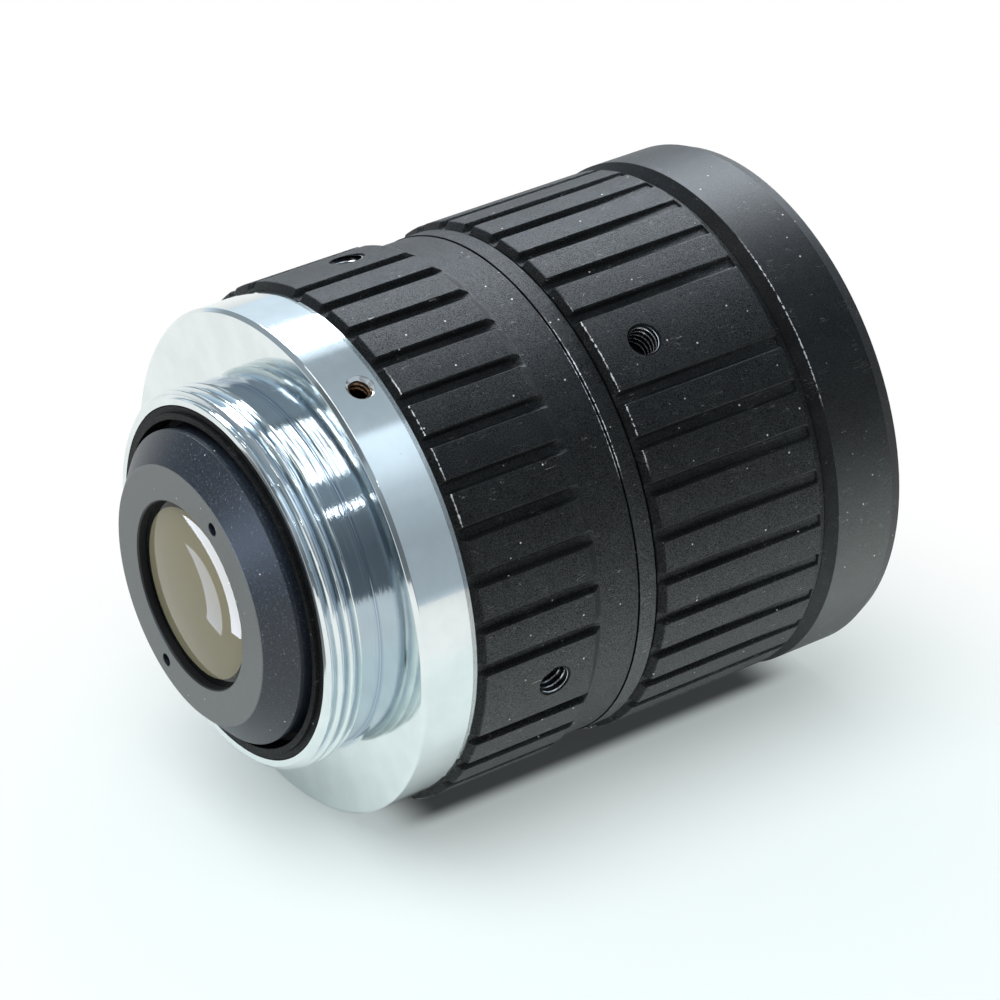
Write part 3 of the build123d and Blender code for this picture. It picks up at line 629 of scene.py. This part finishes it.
for number, angle in enumerate(mount["screwAngles"], 1):
    sleeve = threadLiner(f"mount_screw_thread_{number}", angle, mount["screwHeight"],
                         mount["threadFoot"], mount["threadMouth"], mountLiner)
    addAsPiece(sleeve, "barrel", brassThread)
print("mount ring made,", len(threadedMount.data.polygons), "faces")

# The two grips: lands between soft edged flutes, and a tapped hole in place of every twelfth flute
grip = {
    "fluteHalfWidth": 0.50,
    "fluteFloorHalf": 0.26,
    "floorRadius": 17.0,
    "landRadius": 17.5,
    "places": 36,
    "placesPerHole": 12,
    "cornerEase": 0.07,
    "across": (0.14, 0.25, 0.30, 0.34, 0.38, 0.42, 0.46, 0.50, 0.56, 0.72, 1.0, 1.28),
    "holeRows": (-1.6, -1.2, -0.9, -0.6, -0.3, 0.0, 0.3, 0.6, 0.9, 1.2, 1.6),
    "holeRadius": 1.15,
    "mouthRadius": 1.20,
    "plugReach": 0.4,  # of the holes' plugs into the bore
    "threadGap": 0.05,
    "threadMouth": 17.42,
    "runOut": 0.25,
}


def fluteShape(across, look):
    # 1 on the flute's floor and 0 on the land: shape = 1 - t^2 (3 - 2t),
    # t = (|across| - half of the floor) / width of the wall
    wall = look["fluteHalfWidth"] - look["fluteFloorHalf"]
    t = np.clip((np.abs(across) - look["fluteFloorHalf"]) / wall, 0, 1)
    return 1 - t * t * (3 - 2 * t)


def gripRing(name, corners, firstHole, holeHeight, flutesFrom, look):
    # r = outline radius - depth * shape(across), a = middle of the place + across / land radius
    outline = easedCorners(corners, look["cornerEase"])
    land = np.nonzero(outline[:, 0] > look["landRadius"] - 1e-6)[0]
    before = land[outline[land, 1] < holeHeight].max()
    extra = [(look["landRadius"], holeHeight + step) for step in look["holeRows"]]
    outline = np.insert(outline, before + 1, extra, axis=0)
    side = np.array(look["across"])
    half = pi * look["landRadius"] / look["places"]
    across = np.concatenate([-side[::-1], [0.0], side, [half]])
    place = np.arange(look["places"])
    middle = radians(firstHole) + tau * place[:, None] / look["places"]
    turn = (middle + across[None, :] / look["landRadius"]).ravel()
    fluted = np.where(place % look["placesPerHole"] > 0, 1.0, 0.0)[:, None]
    shape = (fluted * fluteShape(across, look)[None, :]).ravel()
    radius, height = outline[:, :1], outline[:, 1:]
    runOut = np.clip((height - flutesFrom) / look["runOut"], 0, 1)
    deep = np.clip(radius - look["floorRadius"], 0, None) * runOut
    radius = radius - deep * shape[None, :]
    return gridMesh(name, turnedPoints(radius, turn, height))


def makeGrip(node, newName, corners, look, material, extraPlugs=()):
    ring = gripRing(newName, corners, look["firstHole"], look["holeHeight"], look["flutesFrom"], grip)
    holes = grip["places"] // grip["placesPerHole"]
    angles = [look["firstHole"] + 360 * step / holes for step in range(holes)]
    plugFoot = look["bore"] - grip["plugReach"]
    plugs = [tappedPlug(angle, look["holeHeight"], plugFoot, grip["landRadius"], grip) for angle in angles]
    cutHoles(ring, plugs + list(extraPlugs))
    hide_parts(node)
    addAsPiece(ring, node, material)
    for number, angle in enumerate(angles, 1):
        sleeve = threadLiner(f"{node}_hole_thread_{number}", angle, look["holeHeight"],
                             look["bore"] + grip["threadGap"], grip["threadMouth"], liner)
        addAsPiece(sleeve, node, threadBlack)
    print(newName, "made,", len(ring.data.polygons), "faces")


threadBlack = threadMetal("worn black thread", {
    "metal": 0.9,
    "crestFrom": 0.6,
    "grooveColour": (0.006, 0.006, 0.007, 1.0),
    "crestColour": (0.80, 0.82, 0.85, 1.0),
    "mouthColour": (0.02, 0.02, 0.02, 1.0),
    "roughLow": 0.10,
    "roughHigh": 0.2,
})
irisFoot, irisTop = (corner.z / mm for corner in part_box("iris_ring"))
focusFoot, focusTop = (corner.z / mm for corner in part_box("focus_ring"))
iris = {
    "bore": 15.25,
    "collar": 17.04,
    "flutesFrom": irisFoot + 2.95,
    "landFrom": irisFoot + 3.65,
    "landTo": irisTop - 0.4,
    "topRadius": 17.0,
    "firstHole": -25.0,
    "holeHeight": 27.4,
    "pinRadius": 0.5,
    "pinFrom": 14.7,
    "pinTo": 16.4,
    "pinAngle": -5.0,
    "pinHeight": 29.65,
    "bands": [(32.75, 17.42, 0.045), (20.90, 17.0, 0.03)],
}
irisCorners = [
    (iris["bore"], irisTop),
    (iris["bore"], irisFoot),
    (iris["collar"], irisFoot),
    (iris["collar"], iris["flutesFrom"]),
    (grip["landRadius"], iris["landFrom"]),
    (grip["landRadius"], iris["landTo"]),
    (iris["topRadius"], irisTop),
]
focus = {
    "bore": 14.85,
    "seat": 15.3,
    "seatTop": 9.15,
    "collar": 17.0,
    "flutesFrom": focusFoot + 0.7,
    "landTo": focusTop - 0.4,
    "firstHole": -80.2,
    "holeHeight": 15.6,
    "bands": [(18.95, 17.42, 0.045)],
}
focusCorners = [
    (focus["bore"], focusTop),
    (focus["bore"], focus["seatTop"]),
    (focus["seat"], focus["seatTop"]),
    (focus["seat"], focusFoot),
    (focus["collar"], focusFoot),
    (focus["collar"], focus["flutesFrom"]),
    (grip["landRadius"], focus["flutesFrom"]),
    (grip["landRadius"], focus["landTo"]),
    (focus["collar"], focusTop),
]
pinProfile = [
    (0.0, iris["pinFrom"]),
    (iris["pinRadius"], iris["pinFrom"]),
    (iris["pinRadius"], iris["pinTo"]),
    (0.0, iris["pinTo"]),
]
pinHole = plug(pinProfile, iris["pinAngle"], iris["pinHeight"])
irisBlack = anodisedMetal("black anodised iris grip", anodised | {"bands": iris["bands"]})
makeGrip("iris_ring", "fluted_iris_ring", irisCorners, iris, irisBlack, [pinHole])
focusBlack = anodisedMetal("black anodised focus grip", anodised | {"bands": focus["bands"]})
makeGrip("focus_ring", "fluted_focus_ring", focusCorners, focus, focusBlack)


def cellMetal(name, look):
    # the rear cell: a smooth grey face above a dark blasted cone with painted glints, bright bluish
    # specks, on its grain, and painted shade on the inner wall of its opening
    material, tree, shader = startMaterial(name, {"IOR": 1.5})
    spot = placeOnPart(tree)
    grain = noise(tree, spot["place"], look["grainScale"], detail=3.0, roughness=0.7)
    onFace = doMath(tree, "GREATER_THAN", spot["height"], look["faceHeight"])
    moreOnFace = look["faceGloss"] - look["coneGloss"]
    shine = doMath(tree, "MULTIPLY_ADD", onFace, moreOnFace, look["coneGloss"])
    tree.links.new(shine, shader.inputs["Specular IOR Level"])
    # Painted glints: bluish specks mixed into the cone's colour where the grain is high
    bright = fadeBetween(tree, grain, look["paintedGlintFrom"], look["paintedGlintTo"])
    bright = doMath(tree, "MULTIPLY", bright, look["paintedGlint"])
    cone = mixColours(tree, fadeBetween(tree, grain, 0.35, 0.65), look["coneDark"], look["conePale"])
    cone = mixColours(tree, bright, cone, look["paintedGlintColour"])
    face = mixColours(tree, fadeBetween(tree, grain, 0.35, 0.65), look["faceDark"], look["facePale"])
    # Painted shade: inside the wall radius, the inner wall of the opening is near black
    inWall = doMath(tree, "LESS_THAN", spot["radius"], look["wallRadius"])
    dust = dustMask(tree, spot["place"], look)
    colour = mixColours(tree, inWall, mixColours(tree, onFace, cone, face), look["paintedShadeWallColour"])
    colour = mixColours(tree, dust, colour, look["dustColour"])
    tree.links.new(colour, shader.inputs["Base Color"])
    rough = fadeBetween(tree, grain, 0.3, 0.7, look["roughLow"], look["roughHigh"])
    tree.links.new(rough, shader.inputs["Roughness"])
    joinBump(tree, shader, grain, look["grainDepth"])
    return material


cell = {
    "faceHeight": 43.5,
    "faceDark": (0.105, 0.118, 0.120, 1.0),
    "facePale": (0.135, 0.148, 0.150, 1.0),
    # the inner wall of the opening, painted near black as shade
    "wallRadius": 6.38,
    "paintedShadeWallColour": (0.004, 0.004, 0.005, 1.0),
    "coneDark": (0.005, 0.007, 0.010, 1.0),
    "conePale": (0.016, 0.024, 0.038, 1.0),
    # painted glints on the cone: their colour, the grain values they span and their share
    "paintedGlintColour": (0.5, 0.6, 0.75, 1.0),
    "paintedGlintFrom": 0.62,
    "paintedGlintTo": 0.76,
    "paintedGlint": 0.5,
    "faceGloss": 0.5,
    "coneGloss": 0.6,
    "grainScale": 8.0,
    "grainDepth": 0.012,
    "roughLow": 0.36,
    "roughHigh": 0.48,
    "dustScale": 1.3,
    "dustSize": 0.10,
    "dustShare": 0.25,
    "dustColour": (0.62, 0.64, 0.64, 1.0),
}

# The rear cell, turned, with two drilled holes for a pin spanner
drilled = {
    "corners": [
        (8.2, 32.9), (10.45, 32.9), (10.45, 40.0), (10.37, 40.1), (10.37, 41.55), (10.5, 41.55),
        (10.5, 41.9), (8.67, 43.55), (6.4, 43.55), (6.3, 43.45), (6.3, 42.9), (7.65, 42.9),
        (7.65, 36.1), (8.2, 36.1),
    ],
    "cornerEase": 0.03,
    "columns": 192,
    "holeCircle": 7.5,
    "holeAngles": (-70.8, 109.2),
    "holeRadius": 0.45,
    "holeColumns": 40,
    "holeFoot": 43.05,
    "holeTop": 43.7,
}


def rearCell(look):
    # the turned outline, less two round plugs along the axis
    outline = easedCorners(look["corners"], look["cornerEase"])
    turn = np.linspace(0, tau, look["columns"], endpoint=False)[None, :]
    turned = gridMesh("drilled_rear_cell", turnedPoints(outline[:, :1], turn, outline[:, 1:]))
    u = np.linspace(0, tau, look["holeColumns"], endpoint=False)[None, :]
    across = np.array([[0.0], [look["holeRadius"]], [look["holeRadius"]], [0.0]])
    along = np.array([[look["holeFoot"]], [look["holeFoot"]], [look["holeTop"]], [look["holeTop"]]])
    plugs = []
    for angle in np.radians(look["holeAngles"]):
        x = look["holeCircle"] * cos(angle) + across * np.cos(u)
        y = look["holeCircle"] * sin(angle) + across * np.sin(u)
        plugs.append(closeEnds(gridMesh("plug", np.stack([x, y, along + 0 * u], axis=-1))))
    cutHoles(turned, plugs)
    return turned


cellPiece = rearCell(drilled)
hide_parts("rear_cell")
addAsPiece(cellPiece, "barrel", cellMetal("grey anodised rear cell", cell))
print("rear cell made,", len(cellPiece.data.polygons), "faces")

# Finishes of the solids that stay as they are
frontLook = anodised | {
    "roughLow": 0.42,
    "roughHigh": 0.50,
    "grainDepth": 0.01,
    "glossLow": 0.12,
    "glossHigh": 0.26,
    "bands": [(5.30, 17.6, 0.04)],
}
blackSteel = chrome | {
    "paintedGrooveShade": 0.0,
    "colour": (0.10, 0.09, 0.08, 1.0),
    "darkColour": (0.06, 0.055, 0.05, 1.0),
}
bareSteel = chrome | {
    "paintedGrooveShade": 0.0,
    "colour": (0.55, 0.55, 0.55, 1.0),
    "darkColour": (0.45, 0.45, 0.45, 1.0),
}
rearGlassLook = glass | {
    "index": 1.3,
    "clear": 0.1,
    "colour": (0.240, 0.223, 0.145, 1.0),
    "rimRadius": 5.75,
}
finishes = {
    "front": anodisedMetal("black anodised front ring", frontLook),
    "barrel": anodisedMetal("black anodised barrel", anodised | {"bands": [(20.72, 17.0, 0.035)]}),
    "black": anodisedMetal("black anodised inner", anodised),
    "steel": turnedMetal("black oxide steel", blackSteel),
    "bare": turnedMetal("bare steel", bareSteel),
    "glass": coatedGlass("coated glass", glass),
    "rear glass": coatedGlass("coated rear glass", rearGlassLook),
}
finishOfNode = {
    "front": ["front_ring"],
    "barrel": ["main_barrel"],
    "black": [
        "iris_cup", "iris_cover", "cam_ring", "carriage", "rear_lock_ring", "rear_spacer",
        "rear_retainer", "front_retainer", "front_spacer", "carriage_retainer", "iris_retainer",
    ],
    "steel": ["mount_set_screws"] + [f"iris_blade_{step}" for step in range(1, 7)],
    "bare": ["iris_drive_pin", "guide_key"],
    "glass": ["rear_inner_lens", "third_lens", "second_lens", "front_lens"],
    "rear glass": ["rear_lens"],
}
for finish, members in finishOfNode.items():
    for member in members:
        giveMaterial(nodes[member], finishes[finish])
print("finishes given to", sum(len(members) for members in finishOfNode.values()), "solids")


def dotWith(tree, vector, way):
    return addNode(tree, "VectorMath", {0: vector, 1: way}, operation="DOT_PRODUCT").outputs["Value"]


def directlySeen(tree, rays):
    # 1 for the camera's own rays, also through glass, and 0 for what is mirrored or lit
    return doMath(tree, "MAXIMUM", rays["Is Camera Ray"], rays["Is Transmission Ray"])


def makeTable(look):
    # a flat table under the lens, seen only from above, so that it hides nothing from below; a shadow is
    # painted in a strip along the lens, and shade is painted round the lens that fades out with distance
    tilt = radians(look["tableTilt"])
    normal = upWay * cos(tilt) + axisWay * sin(tilt)
    along = backWay.cross(normal)
    middle = -normal * look["tableDrop"]
    half = look["tableSize"] / 2
    ends = [(1, -1), (1, 1), (-1, 1), (-1, -1)]
    corners = [(middle + along * half * a + backWay * half * b) * mm for a, b in ends]
    mesh = bpy.data.meshes.new("table")
    mesh.from_pydata([tuple(corner) for corner in corners], [], [(0, 1, 2, 3)])
    mesh.update()
    if mesh.polygons[0].normal.dot(normal) < 0:
        mesh.flip_normals()
    table = bpy.data.objects.new("table", mesh)
    bpy.context.scene.collection.objects.link(table)
    material = bpy.data.materials.new("pale table")
    material.use_nodes = True
    tree = material.node_tree
    tree.nodes.clear()
    spot = placeOnPart(tree)
    # Painted shadow: the table's colour and glow are darkened in a strip along the lens where it lies
    beside = doMath(tree, "ABSOLUTE", dotWith(tree, spot["place"], backWay))
    close = fadeBetween(tree, beside, *look["paintedShadowWidth"], 1.0, 0.0)
    start = fadeBetween(tree, spot["height"], *look["paintedShadowStart"])
    end = fadeBetween(tree, spot["height"], *look["paintedShadowEnd"], 1.0, 0.0)
    paintedContactShadow = doMath(tree, "MULTIPLY", close, doMath(tree, "MULTIPLY", start, end))
    lit = doMath(tree, "MULTIPLY_ADD", paintedContactShadow, -look["paintedShadowDepth"], 1.0)
    # Painted shade round the lens: the glow turns to full white with distance from a spot near the lens
    gap = addNode(tree, "VectorMath", {0: spot["place"], 1: look["paintedShadeCentre"]}, operation="DISTANCE")
    beyondPaintedShade = fadeBetween(tree, gap.outputs["Value"], *look["paintedShadeFade"])
    seen = directlySeen(tree, addNode(tree, "LightPath").outputs)
    moreSeen = look["tableGlow"] - look["mirroredGlow"]
    share = doMath(tree, "MULTIPLY_ADD", seen, moreSeen, look["mirroredGlow"])
    share = doMath(tree, "MULTIPLY_ADD", beyondPaintedShade, 1.0 - look["tableGlow"], share)
    share = doMath(tree, "MULTIPLY", share, lit)
    colour = mixColours(tree, lit, (0.0, 0.0, 0.0, 1.0), look["tableColour"])
    plain = addNode(tree, "BsdfDiffuse", {"Color": colour}).outputs[0]
    glow = mixColours(tree, beyondPaintedShade, look["glowColour"], (1.0, 1.0, 1.0, 1.0))
    white = addNode(tree, "Emission", {"Color": glow, "Strength": 1.0}).outputs[0]
    top = addNode(tree, "MixShader", {0: share, 1: plain, 2: white}).outputs[0]
    clear = addNode(tree, "BsdfTransparent").outputs[0]
    behind = addNode(tree, "NewGeometry").outputs["Backfacing"]
    whole = addNode(tree, "MixShader", {0: behind, 1: top, 2: clear}).outputs[0]
    addNode(tree, "OutputMaterial", {"Surface": whole})
    mesh.materials.append(material)


makeTable(studio)

# The room: a level at each lift from up, as the chrome shows it, and darker past a lean towards the mount
room = {
    "levels": [
        (-180, 0.9), (-96, 0.9), (-88, 0.46), (-64, 0.42), (-50, 0.52), (-40, 0.66), (-29, 1.0),
        (-15, 1.15), (-12, 0.55), (20, 0.42), (30, 0.45), (33, 1.0), (70, 0.95), (96, 0.85), (180, 0.9),
    ],
    "tint": (0.86, 1.0, 1.13),
    "darkLean": (4, 16),
    "darkShare": 0.38,
    "softLevel": 0.375,  # the level that lights matt surfaces, the table above all
}


def makeRoom(look):
    world = bpy.data.worlds.new("white tent")
    bpy.context.scene.world = world
    world.use_nodes = True
    tree = world.node_tree
    tree.nodes.clear()
    way = addNode(tree, "TexCoord").outputs["Generated"]
    rise = dotWith(tree, way, upWay)
    depth = dotWith(tree, way, backWay)
    lean = addNode(tree, "SeparateXYZ", {0: way}).outputs[2]
    share = doMath(tree, "MULTIPLY_ADD", doMath(tree, "ARCTAN2", depth, rise), 1 / tau, 0.5)
    ramp = addNode(tree, "ValToRGB", {0: share})
    stops = ramp.color_ramp.elements
    stops.remove(stops[-1])
    for number, (place, level) in enumerate(look["levels"]):
        stop = stops[0] if number == 0 else stops.new(place / 360 + 0.5)
        stop.position = place / 360 + 0.5
        stop.color = tuple(level * part for part in look["tint"]) + (1.0,)
    low, high = (sin(radians(angle)) for angle in look["darkLean"])
    dim = fadeBetween(tree, lean, low, high, 1.0, look["darkShare"])
    tent = addNode(tree, "VectorMath", {0: ramp.outputs[0], "Scale": dim}, operation="SCALE").outputs[0]
    rays = addNode(tree, "LightPath").outputs
    seen = directlySeen(tree, rays)
    colour = mixColours(tree, seen, tent, (1.0, 1.0, 1.0, 1.0))
    colour = mixColours(tree, rays["Is Diffuse Ray"], colour, (look["softLevel"],) * 3 + (1.0,))
    light = addNode(tree, "Background", {"Color": colour, "Strength": 1.0})
    addNode(tree, "OutputWorld", {"Surface": light.outputs[0]})


makeRoom(room)

# Softboxes: lift from up towards the back, lean towards the mount, distance, size and watts. A disc has
# one size. The first is for matt surfaces alone, the table above all, and the others for what shines.
# Some light only the pieces named: the strip and the low lights stand for the bright surfaces that the
# black parts mirror in the photo.
gripNames = ["fluted_iris_ring", "fluted_focus_ring"]
plainNames = ["front_ring", "main_barrel"]
softboxes = {
    "table light": {"lift": -10, "lean": 20, "distance": 500, "disc": 466, "power": 2.57, "matt": True},
    "back strip": {
        "lift": 46, "lean": -26, "distance": 500, "size": (160, 560), "power": 3.0,
        "colour": (0.93, 1.0, 1.06),
    },
    "back strip on the black parts": {
        "lift": 43, "lean": -26, "distance": 500, "size": (290, 560), "power": 3.0,
        "colour": (0.90, 1.0, 1.10), "only": plainNames + gripNames,
    },
    "top light": {"lift": 6, "lean": 33, "distance": 500, "size": (330, 60), "power": 0.5},
    "small light": {"lift": -36, "lean": 30, "distance": 500, "size": (20, 40), "power": 0.06},
    "low light": {
        "lift": -137, "lean": -10, "distance": 400, "disc": 640, "power": 4.1,
        "colour": (0.90, 1.0, 0.97), "only": plainNames,
    },
    "low light on the grips": {
        "lift": -137, "lean": -10, "distance": 400, "disc": 640, "power": 2.8,
        "colour": (0.90, 1.0, 0.97), "only": gripNames,
    },
    "cell light": {
        "lift": -18.5, "lean": 68, "distance": 300, "disc": 120, "power": 0.19,
        "colour": (0.80, 1.0, 1.35), "only": ["drilled_rear_cell"],
    },
}


def collectionOf(name, members):
    made = bpy.data.collections.new(name)
    for member in members:
        made.objects.link(bpy.data.objects[member])
    return made


def addSoftbox(name, look):
    lamp = bpy.data.lights.new(name, "AREA")
    if "disc" in look:
        lamp.shape = "DISK"
        lamp.size = look["disc"] * mm
    else:
        lamp.shape = "RECTANGLE"
        lamp.size, lamp.size_y = (side * mm for side in look["size"])
    lamp.energy = look["power"]
    lamp.color = look.get("colour", (1.0, 1.0, 1.0))
    holder = bpy.data.objects.new(name, lamp)
    bpy.context.scene.collection.objects.link(holder)
    way = studioWay(look["lift"], look["lean"])
    holder.location = way * look["distance"] * mm
    across = (axisWay.cross(way)).normalized()
    turned = Matrix((across, way.cross(across), way)).transposed()
    holder.rotation_euler = turned.to_euler()
    holder.visible_camera = False
    holder.visible_diffuse = look.get("matt", False)
    holder.visible_glossy = not holder.visible_diffuse
    if "only" in look:
        holder.light_linking.receiver_collection = collectionOf(name, look["only"])
        holder.light_linking.blocker_collection = blackParts


blackParts = collectionOf("black parts", plainNames + gripNames)
for name, look in softboxes.items():
    addSoftbox(name, look)
print("table, room and softboxes made")


# The camera, as the photograph was taken
view = {
    "turn": -7.0,  # round the axis, 0 looks along +Y
    "rise": 28.67,
    "roll": -110.54,
    "distance": 294.93,
    "target": (-0.165, 8.57, 15.52),
    "lens": 156.34,
    "sensor": 36.0,
}


def makeCamera(look):
    turn, rise, roll = radians(look["turn"]), radians(look["rise"]), radians(look["roll"])
    back = Vector((sin(turn) * cos(rise), -cos(turn) * cos(rise), sin(rise)))
    flatRight = Vector((cos(turn), sin(turn), 0.0))
    flatUp = back.cross(flatRight)
    right = flatRight * cos(roll) + flatUp * sin(roll)
    up = back.cross(right)
    place = (Vector(look["target"]) + back * look["distance"]) * mm
    turned = Matrix((right, up, back)).transposed().to_4x4()
    camera = bpy.data.cameras.new("camera")
    camera.lens = look["lens"]
    camera.sensor_width = look["sensor"]
    camera.sensor_fit = "HORIZONTAL"
    camera.clip_start = 0.01
    holder = bpy.data.objects.new("camera", camera)
    bpy.context.scene.collection.objects.link(holder)
    holder.matrix_world = Matrix.Translation(place) @ turned
    bpy.context.scene.camera = holder
    return holder.matrix_world.translation / mm


eye = makeCamera(view)
bpy.context.scene.view_settings.view_transform = "Standard"

# Two small reflectors near the rear lens, placed where its dome mirrors them to the camera. Each is an arc
# on the dome in plan, with an outer radius and a width that tapers to nothing at its second end.
dome = {"radius": 32.85, "top": 43.5}
reflectors = {
    "bright reflector": {
        "from": 220.0, "to": 328.0, "outer": 5.40, "width": 0.90, "taper": 5.0, "reach": 12.0,
        "colour": (0.92, 1.0, 1.25, 1.0), "strength": 14.0,
    },
    "dim reflector": {
        "from": 205.0, "to": 325.0, "outer": 3.6, "width": 1.6, "taper": 3.0, "reach": 13.0,
        "colour": (0.92, 1.0, 1.25, 1.0), "strength": 5.0,
    },
}
cardGrid = {"rows": 6, "columns": 40}


def mirroredPlaces(look):
    # spot on the dome = (r cos a, r sin a, top - sag(r)), sag = R - sqrt(R^2 - r^2), and the place is
    # the reach away from it along the camera's view mirrored in the dome: 2 (n . e) n - e
    share = np.linspace(0, 1, cardGrid["columns"])[None, :]
    angle = np.radians(look["from"] + (look["to"] - look["from"]) * share)
    across = np.linspace(0, 1, cardGrid["rows"])[:, None]
    radius = look["outer"] - look["width"] * (1 - share ** look["taper"]) * across
    flat = np.stack([radius * np.cos(angle), radius * np.sin(angle), 0 * radius], axis=-1)
    sag = dome["radius"] - np.sqrt(dome["radius"] ** 2 - radius**2)
    spots = flat + np.stack([0 * radius, 0 * radius, dome["top"] - sag], axis=-1)
    normal = flat + np.array([0, 0, 1.0]) * (dome["radius"] - sag)[..., None]
    normal /= np.linalg.norm(normal, axis=-1, keepdims=True)
    toEye = np.array(eye) - spots
    toEye /= np.linalg.norm(toEye, axis=-1, keepdims=True)
    mirrored = 2 * (normal * toEye).sum(axis=-1, keepdims=True) * normal - toEye
    return (spots + mirrored * look["reach"]).reshape(-1, 3) * mm


def addReflector(name, look, receivers):
    rows, columns = cardGrid["rows"], cardGrid["columns"]
    faces = [
        (r * columns + c, r * columns + c + 1, (r + 1) * columns + c + 1, (r + 1) * columns + c)
        for r in range(rows - 1) for c in range(columns - 1)
    ]
    mesh = bpy.data.meshes.new(name)
    mesh.from_pydata([tuple(place) for place in mirroredPlaces(look)], [], faces)
    card = bpy.data.objects.new(name, mesh)
    bpy.context.scene.collection.objects.link(card)
    lit = bpy.data.materials.new(name)
    lit.use_nodes = True
    lit.node_tree.nodes.clear()
    shine = addNode(lit.node_tree, "Emission", {"Color": look["colour"], "Strength": look["strength"]})
    addNode(lit.node_tree, "OutputMaterial", {"Surface": shine.outputs[0]})
    mesh.materials.append(lit)
    for rays in ("camera", "diffuse", "transmission", "shadow"):
        setattr(card, "visible_" + rays, False)
    card.light_linking.receiver_collection = receivers


rearGlass = collectionOf("rear glass", ["rear_lens"])
for name, look in reflectors.items():
    addReflector(name, look, rearGlass)
print("camera and reflectors set")
